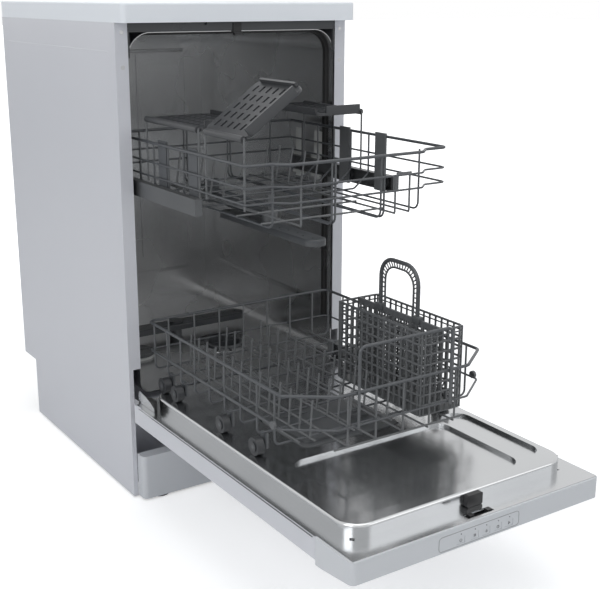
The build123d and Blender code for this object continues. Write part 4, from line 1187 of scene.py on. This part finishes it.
@dataclass
class Wheels:
    """Ribbed treads of the lower rack's wheels.

    Attributes:
        pairs: How many pairs of wheels there are.
        ribs: Ribs round a tread.
        rib: Width and height of a rib.
        sunk: How deep its middle lies under the tread's face, as a share of it.
        inset: From a wheel's outer face to the middle of its tread.
    """

    pairs: int = 4
    ribs: int = 18
    rib: float = 1.1 * MM
    sunk: float = 0.45
    inset: float = 7.5 * MM

    def build(self) -> None:
        """Put small ribs across every tread."""
        for number in range(1, self.pairs + 1):
            name = f"rack_wheels_{number}"
            low, high = node_box(name)
            y, z = (low.y + high.y) / 2, (low.z + high.z) / 2
            radius = (high.z - low.z) / 2 - self.rib * self.sunk
            points, ways = [], []
            for side in Side:
                x = side.value * (high.x - self.inset)
                for i in range(self.ribs):
                    turn = 2 * math.pi * i / self.ribs
                    points.append((x, y + radius * math.cos(turn), z + radius * math.sin(turn)))
                    ways.append((0.0, math.cos(turn), math.sin(turn)))
            treads = StudField(f"{name}_tread", StudShape.BAR, (self.rib, self.rib), DARK_PLASTIC)
            treads.build(points, ways, name, "grey_plastic")


@dataclass
class Studio:
    """Floor, lamps, world and the camera that matches the photograph.

    Attributes:
        camera_at: Where the camera stands.
        yaw: Its turn from straight on, in degrees.
        pitch: Its tilt down, in degrees.
        roll: Its turn about its own line, in degrees.
        lens: Focal length in millimetres, on a sensor of `sensor`.
        sensor: Width of the sensor in millimetres.
        shift: Shift of the frame.
        clip: Nearest and farthest distance that the camera sees.
        floor_size: Width of the floor.
        floor_colour: Colour of the floor.
        floor_rough: Its roughness.
        glow_span: Distances from the object's middle between which the floor's glow grows.
        glow: Strength of that glow at both, to the camera alone.
        soft_colour: Colour of the light from all round.
        soft_strength: Strength of that light.
        lamps: Place, aim, width and power of each lamp.
    """

    camera_at: Point = (-0.9221, -1.52855, 0.8606)
    yaw: float = 33.643
    pitch: float = 15.253
    roll: float = 0.131
    lens: float = 63.124
    sensor: float = 36.0
    shift: tuple[float, float] = (-0.0007, -0.0194)
    clip: tuple[float, float] = (0.05, 50.0)
    floor_size: float = 60.0
    floor_colour: Colour = (0.86, 0.865, 0.87)
    floor_rough: float = 0.8
    glow_span: tuple[float, float] = (0.7, 2.0)
    glow: tuple[float, float] = (0.48, 1.0)
    soft_colour: Colour = (0.94, 0.97, 1.0)
    soft_strength: float = 0.43
    lamps: tuple[tuple[Point, Point, float, float], ...] = (
        ((-3.1, -1.5, 2.3), (0.0, 0.0, 0.4), 2.2, 38.0),
        ((1.9, -2.8, 2.0), (0.0, -0.2, 0.4), 2.0, 11.0),
        ((0.2, -0.4, 3.2), (0.0, 0.0, 0.0), 2.4, 27.0),
        ((0.5, 2.8, 2.0), (0.0, 0.0, 0.4), 2.0, 8.0),
    )

    def build(self) -> None:
        """Set up everything that isn't part of the object."""
        self.floor()
        self.world()
        self.lights()
        self.camera()
        bpy.context.scene.view_settings.view_transform = "Standard"

    def floor(self) -> None:
        """Lay the plain pale floor, near white to the camera, with the shadow kept."""
        mesh = bpy.data.meshes.new("floor")
        half = self.floor_size / 2
        mesh.from_pydata([(-half, -half, 0), (half, -half, 0), (half, half, 0), (-half, half, 0)],
                         [], [(0, 1, 2, 3)])
        made = bpy.data.materials.new("pale_floor")
        made.use_nodes = True
        graph = Graph(made.node_tree)
        shader = made.node_tree.nodes["Principled BSDF"]
        graph.fill(shader, {"Base Color": (*self.floor_colour, 1.0),
                            "Roughness": self.floor_rough, "Emission Color": WHITE})
        path = graph.add("ShaderNodeLightPath")
        place = graph.add("ShaderNodeTexCoord")
        away = graph.add("ShaderNodeVectorMath", operation="LENGTH")
        glow = graph.add("ShaderNodeMapRange", {
            "From Min": self.glow_span[0], "From Max": self.glow_span[1],
            "To Min": self.glow[0], "To Max": self.glow[1]})
        lift = graph.add("ShaderNodeMath", operation="MULTIPLY")
        graph.link((place, "Object", away, 0), (away, "Value", glow, "Value"),
                   (glow, "Result", lift, 1), (path, "Is Camera Ray", lift, 0),
                   (lift, "Value", shader, "Emission Strength"))
        mesh.materials.append(made)
        item = bpy.data.objects.new("floor", mesh)
        bpy.context.scene.collection.objects.link(item)

    def world(self) -> None:
        """Light softly from all round, and show white to camera, gloss and glass."""
        world = bpy.data.worlds.new("studio")
        bpy.context.scene.world = world
        world.use_nodes = True
        graph = Graph(world.node_tree)
        for node in list(world.node_tree.nodes):
            world.node_tree.nodes.remove(node)
        path = graph.add("ShaderNodeLightPath")
        first = graph.add("ShaderNodeMath", operation="MAXIMUM")
        both = graph.add("ShaderNodeMath", operation="MAXIMUM")
        soft = graph.add("ShaderNodeBackground", {"Color": (*self.soft_colour, 1.0),
                                                  "Strength": self.soft_strength})
        white = graph.add("ShaderNodeBackground", {"Color": WHITE, "Strength": 1.0})
        mix = graph.add("ShaderNodeMixShader")
        out = graph.add("ShaderNodeOutputWorld")
        graph.link((path, "Is Glossy Ray", first, 0), (path, "Is Transmission Ray", first, 1),
                   (path, "Is Camera Ray", both, 0), (first, "Value", both, 1),
                   (both, "Value", mix, "Fac"), (soft, "Background", mix, 1),
                   (white, "Background", mix, 2), (mix, "Shader", out, "Surface"))

    def lights(self) -> None:
        """Hang the soft lamps."""
        for number, (at, aim, size, power) in enumerate(self.lamps):
            data = bpy.data.lights.new(f"softbox_{number}", "AREA")
            data.size = size
            data.energy = power
            lamp = bpy.data.objects.new(f"softbox_{number}", data)
            lamp.location = at
            lamp.rotation_euler = (Vector(aim) - Vector(at)).to_track_quat("-Z", "Y").to_euler()
            bpy.context.scene.collection.objects.link(lamp)

    def camera(self) -> None:
        """Set the camera at the photograph's place and angle."""
        yaw, pitch = math.radians(self.yaw), math.radians(self.pitch)
        roll = math.radians(self.roll)
        ahead = Vector((math.sin(yaw) * math.cos(pitch), math.cos(yaw) * math.cos(pitch),
                        -math.sin(pitch)))
        right = Vector((math.cos(yaw), -math.sin(yaw), 0.0))
        up = right.cross(ahead)
        right, up = (right * math.cos(roll) + up * math.sin(roll),
                     up * math.cos(roll) - right * math.sin(roll))
        data = bpy.data.cameras.new("camera")
        data.sensor_width = self.sensor
        data.lens = self.lens
        data.shift_x, data.shift_y = self.shift
        data.clip_start, data.clip_end = self.clip
        item = bpy.data.objects.new("camera", data)
        turn = Matrix((right, up, -ahead)).transposed().to_4x4()
        item.matrix_world = Matrix.Translation(self.camera_at) @ turn
        bpy.context.scene.collection.objects.link(item)
        bpy.context.scene.camera = item


def main() -> None:
    """Build the finishes, the pieces and the studio in order."""
    logging.basicConfig(level=logging.INFO, format="%(message)s")
    GROUPS["rolled_grain"] = grain_group()
    GROUPS["fine_pebble"] = texture_group()
    GROUPS["edge_wear"] = wear_group()
    dress_frame()
    for part in (Cabinet, HingeLinks, DoorTrim, CutleryBasket, Keys, Wheels, Studio):
        part().build()
        LOG.info("built %s", part.__name__)


if __name__ == "__main__":
    main()
